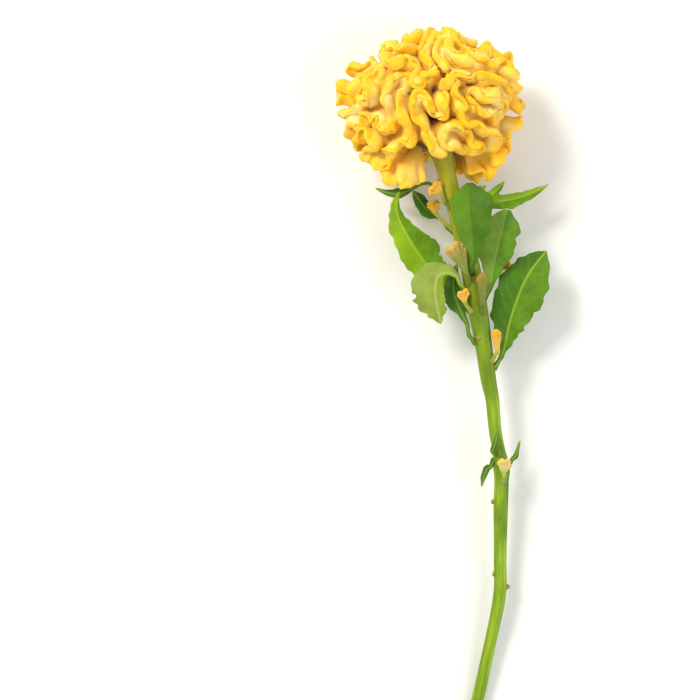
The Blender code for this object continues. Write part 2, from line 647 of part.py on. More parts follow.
def clean_mesh(obj):
    """Merge points that fall together, split faces into triangles and drop crumbs cut loose."""
    work = bmesh.new()
    work.from_mesh(obj.data)
    bmesh.ops.remove_doubles(work, verts=work.verts, dist=MERGE)
    bmesh.ops.dissolve_degenerate(work, edges=work.edges, dist=MERGE)
    bmesh.ops.triangulate(work, faces=work.faces)
    groups, seen = [], set()
    for start in work.verts:
        if start in seen:
            continue
        seen.add(start)
        group = [start]
        for vertex in group:
            for edge in vertex.link_edges:
                other = edge.other_vert(vertex)
                if other not in seen:
                    seen.add(other)
                    group.append(other)
        groups.append(group)
    groups.sort(key=len)
    loose = [vertex for group in groups[:-1] for vertex in group]
    bmesh.ops.delete(work, geom=loose, context="VERTS")
    work.to_mesh(obj.data)
    work.free()


def box_object(name, low, high, material, collection):
    """A box between two corners."""
    box = bmesh.new()
    bmesh.ops.create_cube(box, size=1.0)
    low, high = Vector(low) * MM, Vector(high) * MM
    for vertex in box.verts:
        vertex.co = Vector(low[k] + (high[k] - low[k]) * (vertex.co[k] + 0.5) for k in range(3))
    mesh = bpy.data.meshes.new(name)
    box.to_mesh(mesh)
    box.free()
    mesh.materials.append(material)
    obj = bpy.data.objects.new(name, mesh)
    collection.objects.link(obj)
    return obj


def ground_cutter(material, collection):
    """Everything just below the surface that the flower lies on."""
    return box_object("below", *BELOW_GROUND, material, collection)


def make_stem(materials, cutters):
    """The stalk with its leaf scars and stubs, from the neck to the cut end."""
    line = smooth_path(STEM_LINE, STEM_ROWS)
    stem = tube_object("stem", line, STEM_SIDES, STEM_RIBS, RIB_DEPTH, 0.0, materials["stem_green"], cutters)
    stubs = []
    for y, angle, length, diameter in STUBS:
        centre, radius, direction = stem_at(y)
        outward = np.array([math.cos(math.radians(angle)), 0.25, math.sin(math.radians(angle))])
        outward = unit(outward)
        inner = centre + outward * (radius - 1.5)
        outer = centre + outward * (radius + length)
        middle = centre + outward * (radius + 0.4 * length)
        steps = [(*inner, diameter), (*middle, diameter), (*outer, 0.7 * diameter)]
        stubs.append(tube_object("stub", steps, 8, 1, 0.0, 0.0, materials["stem_green"], cutters))
    combine(stem, stubs, "UNION")
    combine(stem, [ground_cutter(materials["stem_green"], cutters)], "DIFFERENCE")
    clean_mesh(stem)
    return stem


def make_crest(materials, cutters):
    """The head: a core with folded sheets and hanging combs, seated over the stem's neck."""
    yellow = materials["crest_yellow"]
    lift = np.array([0.0, 0.0, HEAD_HEIGHT])
    core = bmesh.new()
    bmesh.ops.create_icosphere(core, subdivisions=CORE_DETAIL, radius=1.0)
    for vertex in core.verts:
        vertex.co = Vector(vertex.co[k] * HEAD_HALF[k] * CORE_SHARE * MM + lift[k] * MM for k in range(3))
    mesh = bpy.data.meshes.new("crest")
    core.to_mesh(mesh)
    core.free()
    mesh.materials.append(yellow)
    crest = bpy.data.objects.new("crest", mesh)
    cutters.objects.link(crest)
    folds = []
    for line, closed in fold_lines():
        middle, half = spread_columns(*fold_sheet(line, closed), closed, FOLD_STEP)
        folds.append(slab("fold", middle + lift, half, yellow, cutters, closed))
    for root, *shape in HANGING_COMBS:
        folds.append(slab("hanging", *comb_sheet([root], *shape), yellow, cutters))
    combine(crest, folds, "UNION")
    line = smooth_path(STEM_LINE[:7], 12)
    start = line[0, :3] + unit(line[0, :3] - line[1, :3]) * GAP
    line = np.vstack([[*start, line[0, 3]], line])
    neck = tube_object("neck", line, STEM_SIDES, STEM_RIBS, RIB_DEPTH, GAP, yellow, cutters)
    combine(crest, [neck, ground_cutter(yellow, cutters)], "DIFFERENCE")
    clean_mesh(crest)
    return crest


def make_materials():
    """One plain material for each colour of the plant."""
    made = {}
    for name, (colour, roughness) in COLOURS.items():
        material = bpy.data.materials.new(name)
        material.use_nodes = True
        surface = material.node_tree.nodes["Principled BSDF"]
        surface.inputs["Base Color"].default_value = (*colour, 1.0)
        surface.inputs["Roughness"].default_value = roughness
        surface.inputs["Metallic"].default_value = 0.0
        made[name] = material
    return made


def main():
    for obj in list(bpy.data.objects):
        bpy.data.objects.remove(obj)
    flower = bpy.data.collections.new("cockscomb_celosia")
    cutters = bpy.data.collections.new("cutters")
    for collection in (flower, cutters):
        bpy.context.scene.collection.children.link(collection)
    materials = make_materials()
    pieces = [make_stem(materials, cutters), make_crest(materials, cutters)]
    for name, comb in SMALL_COMBS.items():
        stalk = seat_points(*comb["seat"], comb["stalk"][0][1]) + list(np.array(comb["stalk"]))
        colour = materials["comb_cream" if name in ("comb_lower_node", "comb_front_tall") else "comb_orange"]
        shape = [comb[key] for key in ("bearing", "rise", "reach", "spread", "ruffle", "turns")]
        pieces.append(slab(name, *comb_sheet(stalk, *shape), colour, cutters))
    for name, leaf in LEAVES.items():
        line = seat_points(*leaf["seat"], leaf["line"][0][1]) + list(np.array(leaf["line"]))
        colour = materials["leaf_pale_green" if name == "leaf_pale" else "leaf_green"]
        sheet = leaf_sheet(line, leaf["widths"], leaf["fold"], leaf["wave"], leaf["turns"])
        pieces.append(slab(name, *sheet, colour, cutters))
    corners = np.array([v.co[:] for piece in pieces for v in piece.data.vertices])
    holder = bpy.data.objects.new("flower", None)
    flower.objects.link(holder)
    middle = 0.5 * (corners.min(0) + corners.max(0))
    holder.location = (-middle[0], -middle[1], 0.0)
    for piece in pieces:
        cutters.objects.unlink(piece)
        flower.objects.link(piece)
        piece.parent = holder
        piece.data.shade_smooth()
        piece.data.set_sharp_from_angle(angle=math.radians(50.0))


main()
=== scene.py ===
# %% [markdown]
# # A cut cockscomb celosia, lying on a pale table
#
# A cockscomb is a celosia whose growing tip has turned from a point into a long line. The line
# crumples as it grows, and the flower head becomes one mass of ruffled, velvety sheets. This lesson
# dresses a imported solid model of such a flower: a golden head, a slim green stem, oval leaves and a
# few small side combs. The first cell loads the solids. They are never moved, only replaced by finer
# pieces of the same form.

# %% Load the solid model
import math

import bmesh
import bpy
import numpy as np
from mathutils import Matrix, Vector


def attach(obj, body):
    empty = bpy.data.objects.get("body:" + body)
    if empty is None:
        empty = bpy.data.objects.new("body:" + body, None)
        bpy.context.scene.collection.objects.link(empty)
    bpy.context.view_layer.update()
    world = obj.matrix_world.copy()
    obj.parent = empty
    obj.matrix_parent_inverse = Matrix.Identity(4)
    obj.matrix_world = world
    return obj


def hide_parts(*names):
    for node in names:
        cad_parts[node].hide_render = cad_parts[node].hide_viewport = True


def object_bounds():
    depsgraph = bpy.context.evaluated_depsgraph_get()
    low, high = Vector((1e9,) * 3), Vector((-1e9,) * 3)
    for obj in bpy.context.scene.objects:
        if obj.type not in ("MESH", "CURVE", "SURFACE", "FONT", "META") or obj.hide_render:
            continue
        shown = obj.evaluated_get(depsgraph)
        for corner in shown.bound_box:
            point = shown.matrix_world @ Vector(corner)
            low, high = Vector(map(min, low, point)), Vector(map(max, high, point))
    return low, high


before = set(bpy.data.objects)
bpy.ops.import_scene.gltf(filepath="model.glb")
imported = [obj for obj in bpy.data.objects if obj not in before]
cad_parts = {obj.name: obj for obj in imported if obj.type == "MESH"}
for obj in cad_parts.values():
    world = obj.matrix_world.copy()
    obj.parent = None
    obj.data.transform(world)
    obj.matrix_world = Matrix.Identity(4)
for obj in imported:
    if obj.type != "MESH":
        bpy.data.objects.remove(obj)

solid_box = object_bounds()
print("solid nodes:", len(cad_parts))
print("solid box in mm:", [[round(c * 1000, 1) for c in corner] for corner in solid_box])

# %% [markdown]
# ## Vectors and curves
#
# Every piece of this plant is a bent sheet or a bent rod. It is easiest to work out their points
# with numpy and hand them to Blender as finished meshes, because each point of a sheet follows a
# rule. Lengths are written in millimetres, and the origin of the rules is the middle of the head.

# %% Vector and curve tools
MM = 0.001
UP = np.array([0.0, 0.0, 1.0])
HEAD_PLACE = np.array([-6.1197, 135.793, 0.0])
HEAD_HEIGHT = 32.0
BOX_LOW, BOX_HIGH = (np.array(corner) / MM for corner in solid_box)
CURVE_STEPS = 12


def unit(vectors):
    """Vectors of length one."""
    length = np.sqrt((vectors * vectors).sum(-1, keepdims=True))
    return vectors / np.maximum(length, 1e-9)


def cross(first, second):
    """The cross product, written out so that it is the same on every machine."""
    a, b, c = first[..., 0], first[..., 1], first[..., 2]
    d, e, f = second[..., 0], second[..., 1], second[..., 2]
    return np.stack([b * f - c * e, c * d - a * f, a * e - b * d], -1)


def run_length(line, closed=False):
    """How far along the line each point lies, with the way back to the start on a closed one."""
    path = np.vstack([line, line[:1]]) if closed else line
    return np.concatenate([[0.0], np.cumsum(np.sqrt(((path[1:] - path[:-1]) ** 2).sum(1)))])


def at_lengths(wanted, run, path):
    """The points of a path at the wanted lengths along it."""
    return np.stack([np.interp(wanted, run, path[:, k]) for k in range(path.shape[1])], 1)


def curve(before, start, end, after, share):
    """Points at a share of a smooth curve from start to end, led by the points on either side."""
    return 0.5 * (2 * start + (end - before) * share
                  + (2 * before - 5 * start + 4 * end - after) * share ** 2
                  + (3 * start - before - 3 * end + after) * share ** 3)


def led(points):
    """The points with one more at each end, straight on."""
    return np.concatenate([2 * points[:1] - points[1:2], points, 2 * points[-1:] - points[-2:-1]])


def smooth_path(points, count):
    """A smooth line through given points, evenly spaced by length."""
    points = np.array(points, float)
    guides = led(points)
    share = np.linspace(0.0, 1.0, CURVE_STEPS, endpoint=False)[:, None]
    fine = np.vstack([*(curve(*guides[n:n + 4], share) for n in range(len(points) - 1)), points[-1:]])
    run = run_length(fine[:, :3])
    return at_lengths(np.linspace(0.0, run[-1], count), run, fine)


def refine(grid, rows, columns):
    """The same grid with more rows and columns, bent smoothly through its points."""
    for axis, count in ((0, rows), (1, columns)):
        grid = np.moveaxis(grid, axis, 0)
        place = np.linspace(0.0, len(grid) - 1.0, count)
        base = np.minimum(place.astype(int), len(grid) - 2)
        share = (place - base).reshape(-1, *([1] * (grid.ndim - 1)))
        guides = led(grid)
        grid = np.moveaxis(curve(*(guides[base + k] for k in range(4)), share), 0, axis)
    return grid


print("middle of the head in mm:", HEAD_PLACE + HEAD_HEIGHT * UP)

# %% [markdown]
# ## Smooth randomness
#
# Growth is uneven, but never rough like static. A noise texture would do for colour, but the mesh
# needs the same kind of field at its own points. So a few plane waves of one length, in random
# directions, are added up. Their seeds are fixed, and each run gives the same flower.

# %% Wave fields
# How far a sum of so many waves usually swings
SWING = {10: 2.0, 12: 2.4, 16: 2.8}


def waves(points, spacing, seed, count=24):
    """A smooth random field whose hills lie about two spacings apart."""
    draws = np.random.default_rng(seed)
    directions = unit(draws.normal(size=(count, 3))) * math.pi / spacing
    phases = draws.uniform(0.0, 2.0 * math.pi, count)
    heights = draws.uniform(0.6, 1.0, count)
    total = np.zeros(points.shape[:-1])
    for (a, b, c), phase, height in zip(directions, phases, heights):
        total += height * np.cos(points[..., 0] * a + points[..., 1] * b + points[..., 2] * c + phase)
    return total


def ripple(points, height, spacing, seed, count=12):
    """Such a field with a given usual height."""
    return height * waves(points, spacing, seed, count) / SWING[count]


print("a ripple of 1 mm at the head's middle:", round(float(ripple(np.zeros((1, 3)), 1.0, 5.0, 1)[0]), 2), "mm")

# %% [markdown]
# ## A sheet with thickness
#
# A petal sheet, a leaf and a bract are the same thing to a modeller: a grid of middle points with a
# thickness at each. Solidify could thicken an open grid, but here the thickness changes from row to
# row, and marks that the materials need, such as how near a point is to the rim, are stored on the
# mesh at the same time. So one function closes the sheet, and another makes the piece.

# %% Turn point grids into pieces
flower = bpy.data.collections.new("cockscomb")
bpy.context.scene.collection.children.link(flower)


def make_piece(name, points, faces, material, node, marks):
    """A smooth mesh object that rides on the flower and stands for one of its solids."""
    points = np.clip(points + HEAD_PLACE, BOX_LOW, BOX_HIGH)
    faces = np.asarray(faces, int)
    a, b, c = (points[faces[:, k]] for k in range(3))
    if (a * cross(b, c)).sum() < 0:
        faces = faces[:, ::-1]
    mesh = bpy.data.meshes.new(name)
    mesh.from_pydata((points * MM).tolist(), [], faces.tolist())
    for mark, values in marks.items():
        kind, key = ("FLOAT_VECTOR", "vector") if np.ndim(values) == 2 else ("FLOAT", "value")
        layer = mesh.attributes.new(mark, kind, "POINT")
        layer.data.foreach_set(key, np.asarray(values, np.float32).ravel())
    mesh.materials.append(material)
    mesh.shade_smooth()
    piece = bpy.data.objects.new(name, mesh)
    flower.objects.link(piece)
    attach(piece, "root")
    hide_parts(node)
    return len(faces)


def sheet_mesh(middle, half, closed=False):
    """Points and faces of a closed sheet round a grid of middle points."""
    rows, columns = middle.shape[:2]
    if closed:
        along = np.roll(middle, -1, 1) - np.roll(middle, 1, 1)
    else:
        along = np.gradient(middle, axis=1)
    raised = unit(cross(along, np.gradient(middle, axis=0))) * half[..., None]
    points = np.concatenate([(middle + raised).reshape(-1, 3), (middle - raised).reshape(-1, 3)])
    other = rows * columns
    row = np.arange(rows - 1)[:, None] * columns
    last = columns if closed else columns - 1
    here = np.arange(last)[None, :]
    a, b = (row + here).ravel(), (row + (here + 1) % columns).ravel()
    d, c = a + columns, b + columns
    faces = [np.stack(f, 1) for f in (
        (a, b, c), (a, c, d), (other + c, other + b, other + a), (other + d, other + c, other + a))]
    ring = np.arange(last + 1) % columns
    seams = [ring, (rows - 1) * columns + ring[::-1]]
    if not closed:
        side = np.arange(rows) * columns
        seams += [side[::-1], side + columns - 1]
    for seam in seams:
        first, second = seam[:-1], seam[1:]
        faces += [np.stack([second, first, other + first], 1),
                  np.stack([second, other + first, other + second], 1)]
    return points, np.concatenate(faces)


print("pieces go into the collection:", flower.name)

# %% [markdown]
# ## Colours and the node helper
#
# Colours are read from the photograph as sRGB hex values, the way a paint chip is named, and turned
# to the linear values that shaders work with. One helper adds a shader node with its settings,
# values and links, so that each material below reads as a short list of what happens to the light.
# Sockets are given in their order or by name. A Map Range node, for example, takes a value, the two
# ends that it is read between, and the two ends that it is turned to.

# %% Colour and node helpers


def linear(hex_value):
    """A linear colour from an sRGB hex value such as FFC814."""
    parts = [int(hex_value[k:k + 2], 16) / 255 for k in (0, 2, 4)]
    return (*[c / 12.92 if c <= 0.04045 else ((c + 0.055) / 1.055) ** 2.4 for c in parts], 1.0)


def set_sockets(node, *values, **named):
    """Set a node's properties, and its sockets in order or by name, with _ for each space."""
    for key in [key for key in named if hasattr(node, key)]:
        setattr(node, key, named.pop(key))
    for key, value in [*enumerate(values), *named.items()]:
        socket = node.inputs[key if isinstance(key, int) else key.replace("_", " ")]
        if isinstance(value, bpy.types.Node):
            value = next(output for output in value.outputs if output.enabled)
        if isinstance(value, bpy.types.NodeSocket):
            node.id_data.links.new(value, socket)
        else:
            socket.default_value = value
    return node


def add_node(tree, kind, *values, **named):
    """A new shader node with its properties, values and links."""
    return set_sockets(tree.nodes.new("ShaderNode" + kind), *values, **named)


def new_material(name):
    """A new material, its node tree and its Principled shader."""
    material = bpy.data.materials.new(name)
    material.use_nodes = True
    return material, material.node_tree, material.node_tree.nodes["Principled BSDF"]


def set_ramp(node, stops):
    """Give a colour ramp its stops, as positions with hex colours."""
    ramp = node.color_ramp.elements
    ramp[0].position, ramp[0].color = stops[0][0], linear(stops[0][1])
    ramp[1].position, ramp[1].color = stops[-1][0], linear(stops[-1][1])
    for position, colour in stops[1:-1]:
        ramp.new(position).color = linear(colour)


print("the rim's golden yellow in linear numbers:", [round(part, 3) for part in linear("FFC404")])

# %% [markdown]
# ## Petal velvet
#
# The head is living petal tissue packed with tiny florets. Its rims are a saturated golden yellow
# and matt like velvet, because thousands of small papillae scatter the light. The sheets below the
# rims are smoother, paler and a little see-through. The valleys between them look orange to brown,
# since light reaches them only through petals, and this shade is painted into their colour. So the
# colour follows a mark stored on the mesh, which runs from the core to the rim: its low end is
# painted shade, its high end the rims' own gold. Pale patches break up the walls but not the rims or
# the valleys; on the golden head they are partly the walls' own paler colour and partly painted
# highlight. Sheen gives the velvet edge, a little subsurface light gives the glow, and a bump with the
# real florets' spacing gives the fine grain, with painted light and shade on the florets.

# %% Petal materials
FLORET_SIZE = 0.55 * MM
FLORET_HEIGHT = 0.25 * MM
PATCH_SIZE = 9.0 * MM
DRIFT_SIZE = 5.625 * MM
RIM_DRIFT = 0.05
# Marks from core to rim between which the patches set in, and between which they thin out
WALL_FOOT = (0.82, 0.90)
WALL_TOP = (0.955, 1.0)
PATCHES_ON_RIM = 0.3
PATCH_EDGE = (0.50, 0.66)


def petal_velvet(name, glow, patch_colour, patch_share, *stops):
    """Velvety petal tissue coloured from core to rim."""
    material, tree, shader = new_material(name)
    rim = add_node(tree, "Attribute", attribute_name="rim").outputs["Fac"]
    place = add_node(tree, "TexCoord").outputs["Object"]
    drift = add_node(tree, "TexNoise", Vector=place, Scale=0.5 / DRIFT_SIZE, Detail=3.0)
    drift = add_node(tree, "MapRange", drift, 0.0, 1.0, -RIM_DRIFT, RIM_DRIFT)
    ramp = add_node(tree, "ValToRGB", add_node(tree, "Math", rim, drift, operation="ADD"))
    set_ramp(ramp, stops)
    # Pale patches on the walls. On the golden head they are partly the walls' own paler colour and partly
    # painted highlight.
    patches = add_node(tree, "TexNoise", Vector=place, Scale=0.5 / PATCH_SIZE, Detail=2.0)
    on_wall = add_node(tree, "MapRange", rim, *WALL_TOP, patch_share, PATCHES_ON_RIM * patch_share)
    above_floor = add_node(tree, "MapRange", rim, *WALL_FOOT, 0.0, on_wall)
    chosen = add_node(tree, "MapRange", patches, *PATCH_EDGE, 0.0, above_floor)
    colour = add_node(tree, "Mix", data_type="RGBA", Factor=chosen, A=ramp, B=linear(patch_colour))
    florets = add_node(tree, "TexVoronoi", feature="SMOOTH_F1", Vector=place, Scale=1.0 / FLORET_SIZE)
    grain = add_node(tree, "TexNoise", Vector=place, Scale=0.5 / FLORET_SIZE, Detail=4.0)
    relief = add_node(tree, "Math", grain, florets, operation="SUBTRACT")
    # Painted light and shade on the florets: lighter on each floret, darker in the gaps between them.
    floret_light_and_shade = add_node(tree, "MapRange", florets, 0.15, 0.75, 1.06, 0.86)
    set_sockets(
        shader, Base_Color=add_node(tree, "HueSaturation", Color=colour, Value=floret_light_and_shade),
        Normal=add_node(tree, "Bump", Strength=0.35, Distance=FLORET_HEIGHT, Height=relief),
        Roughness=0.52, Specular_IOR_Level=0.45, Sheen_Weight=0.12, Sheen_Roughness=0.45,
        Subsurface_Weight=glow, Subsurface_Scale=2.5 * MM, Subsurface_Radius=(1.0, 0.72, 0.14))
    return material


# The darkest stops, 46260A and 8C5610, are painted shade in the valleys and pits. The cream patches, FFEFAC,
# are partly painted highlight.
golden_velvet = petal_velvet(
    "golden_petal_velvet", 0.40, "FFEFAC", 0.75, (0.64, "46260A"), (0.74, "8C5610"), (0.81, "D8A22C"),
    (0.865, "F8C944"), (0.91, "FFDB54"), (0.95, "FFD22A"), (0.985, "FFC404"), (1.0, "FFC306"))
skirt_velvet = petal_velvet(
    "skirt_petal_velvet", 0.35, "FCDE80", 0.5,
    (0.60, "8E8A2C"), (0.75, "C2A236"), (0.86, "E6B63A"), (0.94, "FAC226"), (1.0, "FFC610"))
orange_velvet = petal_velvet(
    "orange_petal_velvet", 0.25, "F6CC68", 0.5,
    (0.0, "9CA234"), (0.25, "CDB042"), (0.6, "E8B234"), (0.9, "F0AE1A"), (1.0, "F6BA22"))
cream_velvet = petal_velvet(
    "cream_petal_velvet", 0.25, "C9BC62", 0.4,
    (0.0, "98AC4E"), (0.25, "B9B964"), (0.6, "DCCB7C"), (0.9, "EACB68"), (1.0, "F4D56E"))
sheath_velvet = petal_velvet(
    "sheath_petal_velvet", 0.20, "A8923C", 0.4,
    (0.0, "6F8424"), (0.25, "78842A"), (0.6, "878A30"), (0.85, "B79E46"), (1.0, "E0B458"))
olive_velvet = petal_velvet(
    "olive_petal_velvet", 0.20, "8A7E30", 0.4,
    (0.0, "66801E"), (0.25, "6C7A22"), (0.6, "7A7E28"), (0.85, "8E822A"), (1.0, "B08428"))
print("petal materials:", [made.name for made in (
    golden_velvet, skirt_velvet, orange_velvet, cream_velvet, sheath_velvet, olive_velvet)])

# %% [markdown]
# ## The rims of the folds
#
# A cockscomb's rim grows faster than what carries it, so it has to crumple. The same thing is done
# here in two steps. First, a smooth random field on an egg gives lines that never cross, where the
# field is zero. A sculpted or noise-displaced ball would show lumps, but not the long wandering lips
# of a real head, with a steady distance between them.

# %% Draw the first rim lines
HEAD_HALF = np.array([42.0, 34.5, 33.0])
EGG_SUBDIVISIONS = 6
FOLD_SPACING = 7.0
FOLD_SEED = 24
LOWEST_FOLD = -0.86
SHORTEST_FOLD = 22.0
LINE_STEP = 2.1
FEWEST_STEPS = 6


def on_egg(vectors):
    """The points of the egg's surface that lie in the same directions."""
    return unit(vectors / HEAD_HALF) * HEAD_HALF


def unit_grid():
    """The points and triangles of an even sphere."""
    grid = bmesh.new()
    bmesh.ops.create_icosphere(grid, subdivisions=EGG_SUBDIVISIONS, radius=1.0)
    points = np.array([v.co[:] for v in grid.verts])
    faces = [tuple(v.index for v in f.verts) for f in grid.faces]
    grid.free()
    return points, faces


def zero_lines(points, faces, field):
    """The lines on which the field changes sign, above the lowest fold."""
    crossing, links, found = {}, {}, []
    for face in faces:
        if min(points[n][1] for n in face) < LOWEST_FOLD:
            continue
        ends = []
        for a, b in ((face[0], face[1]), (face[1], face[2]), (face[2], face[0])):
            if (field[a] > 0) == (field[b] > 0):
                continue
            key = (min(a, b), max(a, b))
            if key not in crossing:
                share = field[key[0]] / (field[key[0]] - field[key[1]])
                crossing[key] = len(found)
                found.append(points[key[0]] * (1 - share) + points[key[1]] * share)
            ends.append(crossing[key])
        if ends:
            links.setdefault(ends[0], []).append(ends[1])
            links.setdefault(ends[1], []).append(ends[0])
    lines, seen = [], set()
    for start in sorted(links, key=lambda n: (len(links[n]), n)):
        if start in seen:
            continue
        line, here = [], start
        while here is not None:
            seen.add(here)
            line.append(found[here])
            here = next((n for n in links[here] if n not in seen), None)
        lines.append((np.array(line), len(links[start]) == 2))
    return lines


def even_steps(line, closed):
    """The same line with even steps."""
    run = run_length(line, closed)
    path = np.vstack([line, line[:1]]) if closed else line
    wanted = np.linspace(0.0, run[-1], max(FEWEST_STEPS, int(round(run[-1] / LINE_STEP))) + 1)
    return at_lengths(wanted[:-1] if closed else wanted, run, path)


sphere_points, sphere_faces = unit_grid()
egg_points = sphere_points * HEAD_HALF
first_lines = []
for line, closed in zero_lines(sphere_points, sphere_faces, waves(egg_points, FOLD_SPACING, FOLD_SEED)):
    if run_length(line * HEAD_HALF, closed)[-1] > SHORTEST_FOLD:
        first_lines.append((even_steps(line * HEAD_HALF, closed), closed))
print("first lines:", len(first_lines))

# %% [markdown]
# ## Let the rims grow
#
# In the second step the lines grow in length and push each other apart, while each stays smooth,
# until they fill the egg like a maze. It is a small simulation of growth. Each round is rounded off,
# so that the same maze grows on every machine.

# %% Grow the rim lines
GROWTH_ROUNDS = 130
LENGTH_GROWTH = 1.5
GROWING_TIME = 0.7
PUSH_REACH = 1.02 * FOLD_SPACING
PUSH, SMOOTHING, STRETCH = 0.30, 0.22, 0.25
NEAREST_PUSH = 0.3
LONGEST_MOVE = 0.45
EDGE_PUSH = 10
NO_LOOP = 10 ** 6


def neighbours(count, closed):
    """The indices of the points before and after each point of a line."""
    index = np.arange(count)
    if closed:
        return (index - 1) % count, (index + 1) % count
    return np.maximum(index - 1, 0), np.minimum(index + 1, count - 1)


def grow_rims(lines):
    """The lines after they have grown, pushed each other apart and crumpled."""
    place = np.vstack([line for line, closed in lines])
    before, after, owner, index, loop, starts = [], [], [], [], [], [0]
    for number, (line, closed) in enumerate(lines):
        count = len(line)
        back, front = neighbours(count, closed)
        before.append(back + starts[-1])
        after.append(front + starts[-1])
        owner += [number] * count
        index += range(count)
        loop += [count if closed else NO_LOOP] * count
        starts.append(starts[-1] + count)
    before, after = np.concatenate(before), np.concatenate(after)
    owner, index, loop = np.array(owner), np.array(index), np.array(loop)
    apart = np.abs(index[:, None] - index[None, :])
    apart = np.minimum(apart, np.abs(loop[:, None] - apart))
    strangers = (owner[:, None] != owner[None, :]) | (apart > int(0.8 * PUSH_REACH / LINE_STEP))
    for turn in range(GROWTH_ROUNDS):
        offsets = [place[:, None, k] - place[None, :, k] for k in range(3)]
        distance = np.sqrt(offsets[0] ** 2 + offsets[1] ** 2 + offsets[2] ** 2)
        weight = np.where((distance < PUSH_REACH) & strangers, 1 - distance / PUSH_REACH, 0)
        weight = weight / np.maximum(distance, NEAREST_PUSH)
        move = PUSH * np.stack([(part * weight).sum(1) for part in offsets], 1)
        move += SMOOTHING * (0.5 * (place[before] + place[after]) - place)
        rest = LINE_STEP * (1 + (LENGTH_GROWTH - 1) * min(1.0, turn / (GROWING_TIME * GROWTH_ROUNDS)))
        for other in (before, after):
            edge = place[other] - place
            length = np.sqrt((edge * edge).sum(1))[:, None]
            move += STRETCH * np.where(length > 1e-5, edge / np.maximum(length, 1e-6) * (length - rest), 0)
        move[:, 1] += EDGE_PUSH * np.maximum(0, LOWEST_FOLD + 0.02 - place[:, 1] / HEAD_HALF[1])
        length = np.sqrt((move * move).sum(1))[:, None]
        move *= np.minimum(1, LONGEST_MOVE / np.maximum(length, 1e-9))
        place = np.round(on_egg(place + move), 6)
    return [(place[start:end], closed) for start, end, (line, closed) in zip(starts, starts[1:], lines)]


rims = grow_rims(first_lines)
print("rim lines:", len(rims), "with a length of", round(sum(run_length(*rim)[-1] for rim in rims)), "mm")

# %% [markdown]
# ## The shape of the whole head
#
# The head is an egg with a few broad lobes, as the photograph shows at the left, the upper right and
# below, and with a few small dark pits where the folds leave a hole between them. Both are smooth
# hills and hollows that fade out with distance, so folds and floor can share them.

# %% Lobes and pits
BROAD_LIFT = (0.07, 11.0, FOLD_SEED + 1, 10)
# Direction from the middle of the head, height as a share of its radius, width
HEAD_LOBES = (
    ((-1.0, -0.05, 0.15), 0.10, 0.35), ((-0.72, 0.68, 0.0), -0.09, 0.28), ((-0.80, -0.60, 0.10), 0.06, 0.28),
    ((0.90, 0.42, 0.05), 0.16, 0.24), ((0.72, 0.69, 0.05), -0.07, 0.12), ((0.45, 0.88, 0.05), 0.07, 0.22),
    ((0.92, -0.38, 0.10), 0.03, 0.22), ((-0.45, -0.85, 0.25), 0.20, 0.25), ((0.68, -0.70, 0.15), 0.18, 0.25))
# Pits, sunk into the head and darkened with painted shade: x and y on the head, and their width
PITS = ((3.0, 3.5, 2.8), (-0.5, -12.5, 3.6), (9.5, 14.5, 2.4),
        (2.0, 17.0, 2.2), (23.0, 10.0, 1.8), (-13.0, 3.0, 1.6))
PIT_DEPTH = 0.24


def lobe_height(points):
    """How far the head stands out of the egg, as a share of its radius."""
    direction = unit(points / HEAD_HALF)
    height = ripple(points, *BROAD_LIFT)
    for lobe, share, width in HEAD_LOBES:
        height += share * np.exp(-(1 - (direction * unit(np.array(lobe))).sum(1)) / width ** 2)
    return height


def pit_depth(points):
    """How far the head sinks into its few dark pits, as a share of its radius."""
    depth = np.zeros(points.shape[:-1])
    for x, y, width in PITS:
        apart = (points[..., 0] - x) ** 2 + (points[..., 1] - y) ** 2
        depth += PIT_DEPTH * np.exp(-apart / width ** 2) * (points[..., 2] > 0)
    return depth


lift = lobe_height(egg_points)
print("the egg rises by", round(lift.min(), 2), "to", round(lift.max(), 2), "of its radius")

# %% [markdown]
# ## From rims to ruffled sheets
#
# Each rim is the edge of a sheet that rises from the core. Deeper in, the sheet follows a smoother
# line, so it flares into cups and funnels where the rim bends. Walls are thick at the foot, and the
# lip above them is thin and rounded. It leans to and fro in short scallops, and slow waves lift and
# thicken it here and there, as growth does. Each level of a sheet is one row of points, so the
# profile can be read in one table.

# %% Build the folds
FOLD_COLUMN = 0.85
LIP_SMOOTHING = 3
WALL_LEVEL = 3
END_LENGTH = 7.0
END_SHARE = 0.35
THIN_END = 0.75
# Each level: its share of the head's radius, how often its line is smoothed, half thickness
FOLD_LEVELS = (
    (0.620, 12, 1.00), (0.700, 10, 1.50), (0.780, 9, 2.10), (0.850, 7, 2.25), (0.905, 5, 2.05),
    (0.945, 3, 1.72), (0.975, 1, 1.48), (0.995, 0, 1.26), (1.007, 0, 0.92), (1.013, 0, 0.42))
FOLD_FOOT = FOLD_LEVELS[0][0]
LIP_FOOT = 0.80
LIP_RISE = 0.15
LIP_SINK = 0.7
# Ripples of the lip: height, spacing, seed and number of waves
FINE_SWELL = (0.08, 2.6, 71, 16)
BROAD_SWELL = (0.36, 8.5, 73)
FINE_LIFT = (0.28, 1.7, 72, 16)
SLOW_LIFT = (1.15, 5.5, 74)
SCALLOPS = (2.0, 4.8, 75)


